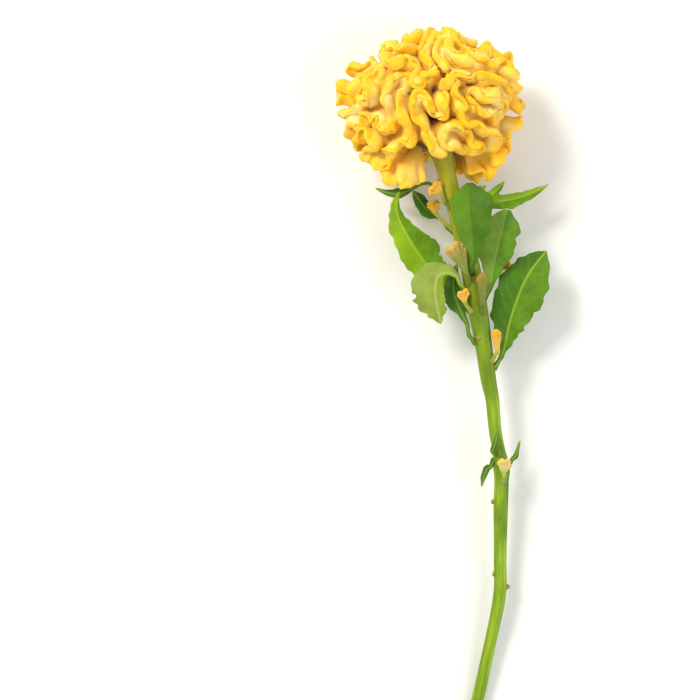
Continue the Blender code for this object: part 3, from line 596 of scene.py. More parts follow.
def fold_sheet(line, closed):
    """The middle points and half thicknesses of one fold, from the core to its rim."""
    back, front = neighbours(len(line), closed)
    ends = np.ones(len(line))
    if not closed:
        run = run_length(line)
        near = np.minimum(run, run[-1] - run) / END_LENGTH
        ends = END_SHARE + (1 - END_SHARE) * np.sqrt(1 - (1 - np.minimum(near, 1)) ** 2)
    middle, half = [], []
    for share, passes, thick in FOLD_LEVELS:
        level = line
        for _ in range(passes):
            level = level + 0.5 * (0.5 * (level[back] + level[front]) - level)
        level = on_egg(level)
        outward = (share - FOLD_FOOT) / (1 - FOLD_FOOT)
        radius = FOLD_FOOT + (share - FOLD_FOOT) * ends + outward * lobe_height(level) * ends
        middle.append(level * radius[:, None])
        half.append(thick * (THIN_END + (1 - THIN_END) * ends))
    return np.array(middle), np.array(half)


def fine_columns(grid, closed, run, wanted):
    """A grid's columns at the wanted places along the rim, bent smoothly through the old ones."""
    count = grid.shape[1]
    place = np.interp(wanted, run, np.arange(len(run)))
    base = np.floor(place).astype(int)
    share = (place - base).reshape(1, -1, *([1] * (grid.ndim - 2)))
    picked = [(base + k) % count if closed else np.clip(base + k, 0, count - 1) for k in (-1, 0, 1, 2)]
    return curve(*(grid[:, index] for index in picked), share)


shares = np.array([level[0] for level in FOLD_LEVELS])
lip = np.clip((shares - LIP_FOOT) / LIP_RISE, 0.0, 1.0)[:, None]
fold_points, fold_faces, fold_marks, wall_places, total = [], [], [], [], 0
for line, closed in rims:
    middle, half = fold_sheet(line, closed)
    run = run_length(middle[-1], closed)
    wanted = np.linspace(0.0, run[-1], int(round(run[-1] / FOLD_COLUMN)) + 1)
    wanted = wanted[:-1] if closed else wanted
    middle, half = (fine_columns(grid, closed, run, wanted) for grid in (middle, half))
    back, front = neighbours(middle.shape[1], closed)
    for _ in range(LIP_SMOOTHING):
        middle = middle + 0.5 * (0.5 * (middle[:, back] + middle[:, front]) - middle)
    wall_places.append(on_egg(middle[WALL_LEVEL, ::2]))
    half = half * (1 + lip * (ripple(middle, *FINE_SWELL) + ripple(middle, *BROAD_SWELL)))
    sideways = unit(cross(middle[:, front] - middle[:, back], middle))
    middle = middle + sideways * (lip * ripple(middle, *SCALLOPS))[..., None]
    lifted = ripple(middle, *FINE_LIFT) + ripple(middle, *SLOW_LIFT) - LIP_SINK
    middle = middle + unit(middle) * (lip * lifted)[..., None]
    sunk = pit_depth(middle)
    points, faces = sheet_mesh(middle * (1 - sunk[..., None]), half, closed)
    fold_points.append(points)
    fold_faces.append(faces + total)
    # The rim mark is lowered by the pits' depth, so the ramp paints shade into the pits. The fold's lowest rows
    # take the dark valley stops, which are painted shade too.
    fold_marks.append(np.tile((shares[:, None] - sunk).ravel(), 2))
    total += len(points)
fold_points = np.concatenate(fold_points) + HEAD_HEIGHT * UP
fold_points[:, 2] = np.maximum(fold_points[:, 2], 0.02)
count = make_piece("ruffled_folds", fold_points, np.concatenate(fold_faces), golden_velvet,
                   "crest", {"rim": np.concatenate(fold_marks)})
print("folds:", count, "triangles")

# %% [markdown]
# ## The valley floor
#
# Between the folds the eye sees warm, rounded valleys, since the walls of neighbouring folds grow
# from one fleshy body. A fine egg closes the head below the folds. It rises towards the foot of each
# wall, by its distance to the nearest one, so walls and floor blend into soft cups. A boolean union
# of all the folds would be slow, and would leave sharp creases instead.

# %% Build the valley floor
FLOOR_LOW = 0.80
FLOOR_RISE = 0.125
FLOOR_BLEND = 2.5
BARE_FROM, BARE_FADE, BARE_SINK = 6.0, 5.0, 0.12
FLOOR_BUMPS = (0.010, 3.0, 81)
BATCH = 2000


def nearest(points, places):
    """The distance from each point to the nearest of the places, worked out in batches."""
    found = []
    for start in range(0, len(points), BATCH):
        offsets = points[start:start + BATCH, None] - places[None]
        found.append(np.sqrt((offsets * offsets).sum(2).min(1)))
    return np.concatenate(found)


to_wall = nearest(egg_points, np.concatenate(wall_places))
# The floor's share is also its rim mark. Where the floor sinks, far from the walls and in the pits, the ramp
# paints it dark brown as painted shade.
floor_share = FLOOR_LOW + FLOOR_RISE * np.exp(-(to_wall / FLOOR_BLEND) ** 2)
floor_share -= BARE_SINK * np.clip((to_wall - BARE_FROM) / BARE_FADE, 0.0, 1.0)
floor_share -= pit_depth(egg_points)
radius = floor_share + (floor_share - FOLD_FOOT) / (1 - FOLD_FOOT) * lobe_height(egg_points)
radius *= 1 + ripple(egg_points, *FLOOR_BUMPS)
count = make_piece("head_floor", egg_points * radius[:, None] + HEAD_HEIGHT * UP, sphere_faces,
                   golden_velvet, "crest", {"rim": floor_share})
print("valley floor:", count, "triangles")

# %% [markdown]
# ## Small fans, and the combs that hang under the head
#
# Under the head hang five smaller fans, the lowest ruffles of the same crest, and side shoots end in
# fans of their own. All follow one rule: rows of points that open like a fan from a narrow stalk,
# while a wave, which grows towards the rim, throws them to and fro. The rows are first laid as in
# the solid model, then refined and given a beaded rim and fine pleats. A fan that joins the stem gets
# one more row at its start, wider than its stalk and inside the stem, which hides the join.

# %% Build the hanging combs
COMB_COLUMNS = 9
COMB_ROWS = ((0.25, 0.8), (0.6, 1.0), (0.9, 1.5), (1.0, 0.9))
COMB_FULL_WIDTH = 5.5
STALK_HALF = 0.6
STALK_MARK = 0.12
CORNER_THINNING = 0.35
CORNER_ROUNDING = 0.25
WIDE_FAN = 25.0
NOTCH = 0.05
WAVE_START = 0.6
ROOT_LENGTH = 3.2
ROOT_FLARE = 1.35
FINE_FACTOR = 4
FEWEST_COLUMNS = 17
RIM_SLACK = 1.15
THINNEST_COMB = 0.3
RIM_THINNING = (0.8, 0.35)
COMB_SWELL = (0.18, 2.2)
BEAD_SPACING = 1.6
RIM_SINK = 0.2
PLEATS = 4.5
PLEAT_DEPTH = 3.0
FLANK_WAVER, FLANK_SPACING = 3.5, 5.5
HANGING_CORE = 0.66
HANGING_COLUMN, HANGING_BEADS = 0.6, 0.3
# Root, then the fan: bearing, rise, reach, spread, ruffle, turns
HANGING_COMBS = (
    ((-6.0, -15.0, 36.0), (246.0, 14.0, 31.0, 28.0, 3.6, 3.0)),
    ((-5.0, -14.0, 27.0), (228.0, -16.0, 25.0, 32.0, 3.4, 3.0)),
    ((12.0, -14.0, 35.0), (318.0, 12.0, 30.0, 26.0, 3.6, 3.0)),
    ((14.0, -16.0, 31.0), (293.0, -2.0, 25.0, 14.0, 2.4, 2.0)),
    ((10.0, -15.0, 27.0), (308.0, -12.0, 24.0, 28.0, 3.2, 3.0)),
)


def comb_sheet(stalk, bearing, rise, reach, spread, ruffle, turns):
    """Middle points, half thicknesses and rim marks of a small fan on a narrow stalk."""
    bearing, rise = math.radians(bearing), math.radians(rise)
    crown = np.array([math.cos(bearing) * math.cos(rise), math.sin(bearing) * math.cos(rise), math.sin(rise)])
    side = np.array([-math.sin(bearing), math.cos(bearing), 0.0])
    front = cross(crown, side)
    across = np.linspace(-1.0, 1.0, COMB_COLUMNS)
    middle, half, marks = [], [], []
    stalk = np.array(stalk, float)
    leading = np.gradient(np.vstack([stalk, stalk[-1] + crown]), axis=0)[:-1]
    for number, (point, forward) in enumerate(zip(stalk, unit(leading))):
        width = unit(cross(front, forward) + 0.25 * side)
        middle.append(point + width * across[:, None])
        half.append(np.full(COMB_COLUMNS, STALK_HALF))
        marks.append(STALK_MARK * number / len(stalk))
    angle = np.radians(spread) * across
    slim = min(1.0, reach * math.radians(spread) / COMB_FULL_WIDTH)
    ray = np.cos(angle)[:, None] * crown + np.sin(angle)[:, None] * side
    wave = np.sin(turns * math.pi * 0.5 * across + WAVE_START)
    notch = (NOTCH if spread > WIDE_FAN else -NOTCH) * np.cos(turns * math.pi * across)
    for share, thick in COMB_ROWS:
        uneven = 1 - share * (CORNER_ROUNDING * across ** 4 + notch)
        row = stalk[-1] + side * across[:, None] * (1 - share) + ray * (reach * share * uneven)[:, None]
        middle.append(row + front * (ruffle * share ** 1.5 * wave)[:, None])
        half.append((STALK_HALF + (thick - STALK_HALF) * slim ** 2) * (1 - CORNER_THINNING * across ** 4))
        marks.append(STALK_MARK + (1 - STALK_MARK) * share)
    return np.array(middle), np.array(half), np.array(marks)


def add_root(middle, half):
    """The sheet with one more row at its start, wider and thicker, that ends inside the stem."""
    centre = middle[0].mean(0)
    back = unit(centre - middle[1].mean(0))
    root = centre + back * ROOT_LENGTH + (middle[0] - centre) * ROOT_FLARE
    return np.concatenate([root[None], middle]), np.concatenate([half[:1] * ROOT_FLARE, half])


def fine_comb(stalk, fan, column_step, beads, seed, rooted=True):
    """A comb's finer sheet with a rounded, beaded rim: its points, faces and rim marks."""
    middle, half, marks = comb_sheet(stalk, *fan)
    if rooted:
        middle, half = add_root(middle, half)
        marks = np.append([0.0], marks)
    columns = max(FEWEST_COLUMNS, int(run_length(middle[-1])[-1] * RIM_SLACK / column_step))
    rows = FINE_FACTOR * (len(middle) - 1) + 1
    middle = refine(middle, rows, columns)
    half = np.maximum(refine(half, rows, columns), THINNEST_COMB)
    half[-2:] *= np.array(RIM_THINNING)[:, None]
    marks = np.interp(np.linspace(0, 1, rows), np.linspace(0, 1, len(marks)), marks)
    swell = np.clip((marks - 0.5) / 0.5, 0.0, 1.0)[:, None]
    half = half * (1 + swell * ripple(middle, *COMB_SWELL, seed, 16))
    outward = unit(middle[-1] - middle[0])[None]
    beaded = ripple(middle, beads, BEAD_SPACING, seed + 1, 16) - RIM_SINK
    middle = middle + outward * (swell * beaded)[..., None]
    pleats = np.cos(math.pi * (PLEATS * np.linspace(-1.0, 1.0, columns) + 0.3 * seed))
    normal = unit(cross(np.gradient(middle, axis=1), np.gradient(middle, axis=0)))
    middle = middle + normal * (PLEAT_DEPTH * beads * swell * pleats)[..., None]
    flank = unit(middle[:, -1:] - middle[:, :1])
    middle = middle + flank * (swell * ripple(middle, FLANK_WAVER * beads, FLANK_SPACING, seed + 40))[..., None]
    return *sheet_mesh(middle, half), np.tile(np.repeat(marks, columns), 2)


for number, (root, fan) in enumerate(HANGING_COMBS):
    points, faces, marks = fine_comb([root], fan, HANGING_COLUMN, HANGING_BEADS, 90 + 2 * number, False)
    make_piece(f"hanging_comb_{number + 1}", points, faces, skirt_velvet, "crest",
               {"rim": HANGING_CORE + (1 - HANGING_CORE) * marks})
print("hanging combs:", len(HANGING_COMBS))

# %% [markdown]
# ## The stem's skin
#
# A fresh celosia stem is smooth, slightly waxy and ribbed, like thin celery. It is yellow green on
# its ribs and ochre under the head, and along it run hair-fine lines. Painted shade darkens its
# grooves, the stretch just under the head and the stretch where the leaves hang over it. The mesh
# stores for each point how far it is along the stem and round it, so the lines can follow the bends.
# A pattern in plain object space would cut across them. Other marks on the mesh say how much of each
# tint and of the painted shade a place gets.

# %% Stem material
STREAK_WIDTH = 0.45
STREAK_LENGTH = 14.0
BLOTCH_LENGTH = 22.0
CLOUD_SCALE = 0.16
# Marks on the mesh and the colours that they bring in, one over the other: groove and shade bring
# in painted shade, dry and warmth the skin's own colours
STEM_TINTS = (("groove", "5E800C"), ("dry", "9E8C4A"), ("warmth", "C2AE22"), ("shade", "4F6604"))


def stem_skin():
    """Smooth stem skin with long fine streaks and cloudy darker stretches."""
    material, tree, shader = new_material("green_stem_skin")
    place = add_node(tree, "Attribute", attribute_name="stem_place").outputs["Vector"]
    long_way = add_node(tree, "Mapping", Vector=place,
                        Scale=(1 / STREAK_WIDTH, 1 / STREAK_LENGTH, 1 / STREAK_WIDTH))
    streaks = add_node(tree, "TexNoise", Vector=long_way, Scale=1.0, Detail=3.0, Roughness=0.6)
    cloud_way = add_node(tree, "Mapping", Vector=place, Scale=(CLOUD_SCALE, 1 / BLOTCH_LENGTH, CLOUD_SCALE))
    clouds = add_node(tree, "TexNoise", Vector=cloud_way, Scale=1.0, Detail=4.0)
    base = add_node(tree, "ValToRGB", clouds)
    set_ramp(base, ((0.34, "5E800C"), (0.50, "80A010"), (0.66, "98B424")))
    lines = add_node(tree, "MapRange", streaks, 0.35, 0.68, 0.90, 1.10)
    colour = add_node(tree, "HueSaturation", Color=base, Value=lines)
    for mark, tint in STEM_TINTS:
        share = add_node(tree, "Attribute", attribute_name=mark).outputs["Fac"]
        colour = add_node(tree, "Mix", data_type="RGBA", Factor=share, A=colour, B=linear(tint))
    set_sockets(
        shader, Base_Color=colour, Roughness=0.48, Specular_IOR_Level=0.24,
        Normal=add_node(tree, "Bump", Strength=0.30, Distance=0.12 * MM, Height=streaks),
        Coat_Weight=0.03, Coat_Roughness=0.35,
        Subsurface_Weight=0.15, Subsurface_Scale=1.5 * MM, Subsurface_Radius=(0.5, 1.0, 0.15))
    return material


green_stem = stem_skin()
print("stem material:", green_stem.name)

# %% [markdown]
# ## The stem
#
# The stem bends, thickens at the knots where leaves grow, and has five soft ribs. It is lofted
# through the measured line as a tube, one ring of points per step. A bevelled curve would be round
# all along, but here each ring can have its ribs.

# %% Build the stem
# x, y, z and diameter, from inside the head down to the cut end
STEM_LINE = (
    (4.0, -18.0, 32.0, 15.0), (5.2, -22.5, 31.6, 13.4), (6.6, -28.0, 31.1, 10.4), (8.0, -34.5, 30.5, 9.0),
    (10.0, -43.5, 29.5, 8.8), (12.5, -51.0, 28.5, 8.8), (15.0, -61.0, 27.5, 9.0), (17.5, -71.0, 26.5, 9.4),
    (20.5, -83.5, 25.3, 9.8), (23.5, -100.0, 23.8, 10.0), (26.6, -118.5, 22.0, 8.6), (29.5, -138.5, 20.0, 7.8),
    (31.5, -148.5, 19.0, 6.9), (33.0, -163.5, 17.5, 6.5), (35.0, -174.5, 16.4, 6.6), (36.5, -183.0, 15.5, 8.4),
    (36.5, -190.0, 14.9, 7.3), (36.2, -202.0, 13.7, 7.3), (36.0, -228.5, 11.0, 6.4), (35.8, -248.5, 9.1, 6.5),
    (31.0, -273.5, 6.6, 5.9), (25.8, -298.5, 4.0, 6.2), (23.6, -308.5, 3.1, 6.2),
)
STEM_SIDES = 60
STEM_ROWS = 260
SKIN_RADIUS = 4.2
STEM_RIBS = 5
RIB_DEPTH = 0.05
GROOVE_SHADE = 0.55
CUT_DRYING = 1.2
# How ochre the skin is, and how dark the painted shade under the head and the leaves, by length
# from the head
WARMTH_RUN = (0.0, 20.0, 45.0, 62.0, 70.0, 85.0, 95.0)
WARMTH = (0.70, 0.62, 0.35, 0.15, 0.30, 0.20, 0.0)
SHADE_RUN = (0.0, 6.0, 14.0, 60.0, 74.0, 95.0, 125.0, 145.0)
SHADE = (0.45, 0.25, 0.05, 0.10, 0.45, 0.38, 0.30, 0.0)


def tube(line, sides, shape):
    """A closed tube round a line of points with diameters, and the angle and length at each point."""
    line = np.array(line, float)
    forward = unit(np.gradient(line[:, :3], axis=0))
    side = unit(cross(forward, UP * np.ones_like(forward)))
    up = cross(side, forward)
    run = run_length(line[:, :3])[:, None] * np.ones((1, sides))
    angle = (2 * math.pi * np.arange(sides) / sides)[None, :] * np.ones((len(line), 1))
    radius = 0.5 * line[:, 3:4] * shape(angle, run)
    points = (line[:, None, :3] + side[:, None] * (radius * np.cos(angle))[..., None]
              + up[:, None] * (radius * np.sin(angle))[..., None])
    ring = np.arange(sides)
    after = (ring + 1) % sides
    faces = []
    for row in sides * np.arange(len(line) - 1):
        faces += [np.stack([row + ring, row + after, row + after + sides], 1),
                  np.stack([row + ring, row + after + sides, row + ring + sides], 1)]
    first, tail = points.size // 3, (len(line) - 1) * sides
    faces += [np.stack([ring * 0 + first, after, ring], 1),
              np.stack([ring * 0 + first + 1, tail + ring, tail + after], 1)]
    return np.concatenate([points.reshape(-1, 3), line[[0, -1], :3]]), np.concatenate(faces), angle, run


def stem_shape(angle, run):
    """Soft ribs that fade in and out along the stem, with finer ones between them."""
    fine = 0.010 * np.cos(13 * angle + 0.8 * np.sin(run / 31.0)) + 0.006 * np.cos(29 * angle + run / 40.0)
    ribs = RIB_DEPTH * np.cos(STEM_RIBS * angle) * (1 + 0.25 * np.sin(run / 23.0))
    return 1 + ribs + fine + 0.0014 * np.sin(run / 46.0)


def skin_places(angle, run, radius):
    """Places on the skin as vectors, so that the pattern has no seam: round, along, round."""
    skin = np.stack([radius * np.cos(angle), run, radius * np.sin(angle)], -1).reshape(-1, 3)
    return np.vstack([skin, [[0, 0, 0], [0, run.max(), 0]]])


points, faces, angle, run = tube(smooth_path(STEM_LINE, STEM_ROWS), STEM_SIDES, stem_shape)
points[:, 2] = np.maximum(points[:, 2], 0.01)
# Painted shade in the grooves between the ribs
groove = GROOVE_SHADE * np.clip(-np.cos(STEM_RIBS * angle), 0.0, 1.0) ** 2
drying = np.clip((run - run.max() + CUT_DRYING) / CUT_DRYING, 0.0, 0.5)
count = make_piece("stem_fine", points, faces, green_stem, "stem", {
    "stem_place": skin_places(angle, run, SKIN_RADIUS),
    "groove": np.append(groove, [0.0, 0.0]), "dry": np.append(drying, [0.0, 0.8]),
    "warmth": np.append(np.interp(run, WARMTH_RUN, WARMTH), [0.0, 0.0]),
    "shade": np.append(np.interp(run, SHADE_RUN, SHADE), [0.0, 0.0])})
print("stem:", count, "triangles")

# %% [markdown]
# ## Stubs on the stem
#
# Short dry stubs mark where side shoots were cut. Each is one more small tube, which starts inside
# the stem and tapers, and its tip is dried to a pale brown. What grows on the stem asks one function
# where the stem is.

# %% Build the stubs
# y along the stem, angle round it in degrees, length, diameter
STUBS = ((-201.5, 180.0, 1.6, 2.6), (-238.0, 175.0, 0.7, 3.0),
         (-245.0, 5.0, 1.9, 2.6), (-118.0, 120.0, 0.8, 3.0))
STUB_DEPTH = 1.5
STUB_SIDES, STUB_ROWS = 20, 9
STUB_SKIN_RADIUS = 1.4


def stem_at(y):
    """The stem's middle, radius and direction where it crosses a given y."""
    line = np.array(STEM_LINE)[::-1]
    centre, upper = (
        np.array([np.interp(place, line[:, 1], line[:, 0]), place, np.interp(place, line[:, 1], line[:, 2])])
        for place in (y, y + 2.0))
    return centre, 0.5 * np.interp(y, line[:, 1], line[:, 3]), unit(upper - centre)


for number, (y, turn, length, diameter) in enumerate(STUBS):
    centre, radius, _ = stem_at(y)
    outward = unit(np.array([math.cos(math.radians(turn)), 0.25, math.sin(math.radians(turn))]))
    places = np.linspace(-STUB_DEPTH, length, STUB_ROWS)
    widths = diameter * np.interp(places, [-STUB_DEPTH, 0.4 * length, length], [1.0, 1.0, 0.72])
    line = np.column_stack([centre + outward * (radius + places)[:, None], widths])
    points, faces, angle, run = tube(line, STUB_SIDES, lambda angle, run: 1 + 0.04 * np.cos(7 * angle))
    drying = np.clip((run - 1.6) / max(length, 0.5), 0.0, 0.9)
    make_piece(f"stem_stub_{number + 1}", points, faces, green_stem, "stem", {
        "stem_place": skin_places(angle, run, STUB_SKIN_RADIUS),
        "groove": np.zeros(len(points)), "dry": np.append(drying, [0.0, 1.0])})
print("stubs:", len(STUBS))

# %% [markdown]
# ## The small side combs
#
# Side shoots of a cockscomb end in small combs of their own. Each sits in the crook of a leaf on a
# green stalk, which turns cream and then orange towards its rim. The stalk leaves the stem at a
# slant, the way it goes on, as in the solid model, and the comb is the same fan as under the head.
# The two combs in front of the stem have narrow, sheath-like fans in duller colours.

# %% Build the side combs
SEAT_GAP = 0.4
SEAT_LENGTH = 2.2
SEAT_LEAN = 50.0
STALK_DEPTH = 0.9
COMB_COLUMN, COMB_BEADS = 0.35, 0.18
# Seat on the stem as y and angle, stalk, fan as under the head, petals
SMALL_COMBS = {
    "comb_neck": (
        (-49.0, 140.0), ((5.0, -45.4, 34.4),),
        (140.0, 6.0, 6.6, 52.0, 1.1, 2.5), orange_velvet),
    "comb_side_shoot": (
        (-60.0, 178.0), ((5.0, -57.6, 28.0), (2.4, -55.0, 28.6)),
        (104.0, 8.0, 7.0, 34.0, 0.9, 2.5), orange_velvet),
    "comb_front_tall": (
        (-88.0, 112.0), ((17.6, -85.5, 34.0),),
        (112.0, 2.0, 17.0, 19.0, 1.3, 2.5), sheath_velvet),
    "comb_front_low": (
        (-103.0, 72.0), ((25.9, -100.8, 32.6),),
        (91.0, 4.0, 15.5, 11.0, 0.6, 1.5), olive_velvet),
    "comb_right_axil": (
        (-90.0, -18.0), ((31.0, -86.0, 20.5), (34.5, -82.6, 19.5)),
        (50.0, 0.0, 6.5, 48.0, 1.2, 2.5), orange_velvet),
    "comb_left_axil": (
        (-101.5, 138.0), ((17.0, -99.6, 30.2),),
        (104.0, 6.0, 6.5, 32.0, 0.8, 2.0), orange_velvet),
    "comb_leaf_axil": (
        (-127.5, 42.0), ((33.4, -125.0, 25.6),),
        (92.0, 10.0, 12.0, 13.0, 0.4, 1.5), orange_velvet),
    "comb_lower_node": (
        (-188.0, 84.0), ((37.0, -186.0, 21.0),),
        (86.0, 10.0, 8.0, 32.0, 1.1, 2.5), cream_velvet),
}


def from_stem(seat, line):
    """A line with two more points before it, which lead out of the stem, leaning the way it goes on."""
    y, angle = seat
    centre, radius, direction = stem_at(y)
    outward = np.array([math.cos(math.radians(angle)), 0.0, math.sin(math.radians(angle))])
    outward = unit(outward - direction * (outward * direction).sum())
    lean = math.radians(SEAT_LEAN if line[0][1] > y else -SEAT_LEAN)
    forward = outward * math.cos(lean) + direction * math.sin(lean)
    first = centre + outward * (radius * (1 + RIB_DEPTH) + SEAT_GAP + STALK_DEPTH * abs(math.sin(lean)))
    return np.vstack([first, first + forward * SEAT_LENGTH, line])


for number, (name, (seat, stalk, fan, petals)) in enumerate(SMALL_COMBS.items()):
    points, faces, marks = fine_comb(from_stem(seat, stalk), fan, COMB_COLUMN, COMB_BEADS, 120 + 2 * number)
    make_piece(name + "_fine", points, faces, petals,
               name, {"rim": marks})
print("side combs:", len(SMALL_COMBS))

# %% [markdown]
# ## Leaf tissue
#
# Celosia leaves are thin, soft and faintly glossy. The upper side is a rich green with a pale
# midrib and side veins that curve towards the tip; between them a fine net of veins shows. The
# underside is paler, greyer and more matt, and light from behind makes the blade glow yellow green.
# The mesh stores how far each point is along and across the blade in millimetres, so the veins are
# drawn where they grow, at their real spacing, however the leaf bends. An object-space texture
# could not follow a curled leaf.

# %% Leaf materials
VEIN_SPACING = 6.2
VEIN_SLANT = 0.85
VEIN_CURVE = 0.028
VEIN_STAGGER = 1.5
VEIN_WANDER = 5.0
VEIN_WIDTH = 0.64
NET_CELL = 1.1
NET_LINE = 0.16
# How strongly side veins, midrib and net show
SIDE_VEIN_SHOWS, MIDRIB_SHOWS, NET_SHOWS = 0.14, 0.75, 0.10
SOFT = dict(interpolation_type="SMOOTHSTEP")


def leaf_tissue(name, left, right, vein, under="6F9038", under_vein="93AC58", roughness=0.5):
    """A leaf whose two halves are painted one lighter and one darker, as light and shade on its fold, with a
    midrib, curved side veins, a fine net and a paler underside.
    """
    material, tree, shader = new_material(name)
    place = add_node(tree, "Attribute", attribute_name="leaf_place").outputs["Vector"]
    along, across, reach = add_node(tree, "SeparateXYZ", place).outputs
    away = add_node(tree, "Math", across, operation="ABSOLUTE")
    slant = add_node(tree, "Math", away, VEIN_CURVE, VEIN_SLANT, operation="MULTIPLY_ADD")
    bend = add_node(tree, "Math", away, slant, operation="MULTIPLY")
    wander = add_node(tree, "TexNoise", Vector=place, Scale=0.16, Detail=2.0)
    wander = add_node(tree, "Math", wander, VEIN_WANDER, operation="MULTIPLY")
    flank = add_node(tree, "Math", across, operation="SIGN")
    shift = add_node(tree, "Math", flank, VEIN_STAGGER, wander, operation="MULTIPLY_ADD")
    order = add_node(tree, "Math", along, bend, operation="SUBTRACT")
    order = add_node(tree, "Math", order, shift, operation="ADD")
    apart = add_node(tree, "Math", order, 0.5 * VEIN_SPACING, operation="PINGPONG")
    side_vein = add_node(tree, "MapRange", apart, 0.0, VEIN_WIDTH, SIDE_VEIN_SHOWS, 0.0, **SOFT)
    fade = add_node(tree, "MapRange", reach, 0.55, 1.0, 1.0, 0.15, **SOFT)
    side_vein = add_node(tree, "Math", side_vein, fade, operation="MULTIPLY")
    midrib = add_node(tree, "MapRange", away, 0.30, 0.85, MIDRIB_SHOWS, 0.0, **SOFT)
    veins = add_node(tree, "Math", side_vein, midrib, operation="MAXIMUM")
    cells = add_node(tree, "TexVoronoi", feature="DISTANCE_TO_EDGE", Vector=place, Scale=1 / NET_CELL)
    net = add_node(tree, "MapRange", cells, 0.0, NET_LINE, NET_SHOWS, 0.0, **SOFT)
    # The two halves of the blade get the colours left and right, one painted lighter and one darker as light
    # and shade on the fold along the midrib.
    half_light_and_shade = add_node(tree, "MapRange", across, -0.8, 0.8, **SOFT)
    blade = add_node(tree, "Mix", data_type="RGBA", Factor=half_light_and_shade, A=linear(right), B=linear(left))
    clouds = add_node(tree, "TexNoise", Vector=place, Scale=0.11, Detail=4.0)
    tone = add_node(tree, "MapRange", clouds, 0.34, 0.66, 0.84, 1.18)
    blade = add_node(tree, "HueSaturation", Color=blade, Value=tone)
    blade = add_node(tree, "Mix", data_type="RGBA", Factor=net, A=blade, B=linear(vein))
    top = add_node(tree, "Mix", data_type="RGBA", Factor=veins, A=blade, B=linear(vein))
    back = add_node(tree, "Mix", data_type="RGBA", Factor=veins, A=linear(under), B=linear(under_vein))
    side = add_node(tree, "Attribute", attribute_name="under").outputs["Fac"]
    grain = add_node(tree, "TexNoise", Vector=place, Scale=2.2, Detail=3.0)
    grain = add_node(tree, "Math", grain, 0.35, operation="MULTIPLY")
    height = add_node(tree, "Math", veins, net, operation="ADD")
    height = add_node(tree, "Math", grain, height, operation="SUBTRACT")
    set_sockets(
        shader, Base_Color=add_node(tree, "Mix", data_type="RGBA", Factor=side, A=top, B=back),
        Normal=add_node(tree, "Bump", Strength=0.45, Distance=0.15 * MM, Height=height),
        Roughness=roughness, Specular_IOR_Level=0.22,
        Subsurface_Weight=0.10, Subsurface_Scale=1.2 * MM, Subsurface_Radius=(0.6, 1.0, 0.1))
    return material


# The first two colours of each leaf are its halves, painted lighter and darker as light and shade fall on its
# fold.
deep_leaf = leaf_tissue("deep_green_leaf", "40700A", "356004", "7FA030")
front_leaf = leaf_tissue("front_green_leaf", "5A8416", "466E0A", "44700C")
large_leaf = leaf_tissue("large_green_leaf", "3F6E08", "548010", "93B22C")
soft_leaf = leaf_tissue("soft_green_leaf", "71962C", "547E14", "7CA23C", "7C9A44", "9CB462", 0.55)
bright_leaf = leaf_tissue("bright_green_leaf", "86AC12", "5E8A08", "A4C02C", "86A444", "A8BE64")
pale_leaf = leaf_tissue("pale_leaf_underside", "8AA02C", "86993E", "A6B85A", "7FA83C", "B5CC50", 0.6)
print("leaf materials:", [made.name for made in (
    deep_leaf, front_leaf, large_leaf, soft_leaf, bright_leaf, pale_leaf)])

# %% [markdown]
# ## The leaves and bracts, as they were measured
#
# Each leaf is a midrib line from the stem to the tip, a reach to its right and to its left, a fold
# along the midrib and a wave at the margin. These are the rows of the solid model, so the finer leaf
# lies where the solid one does. Real leaves are also torn and bitten, and the table says where.

# %% List the leaves and bracts
TIP = (1.0, 0.35, 0.35)
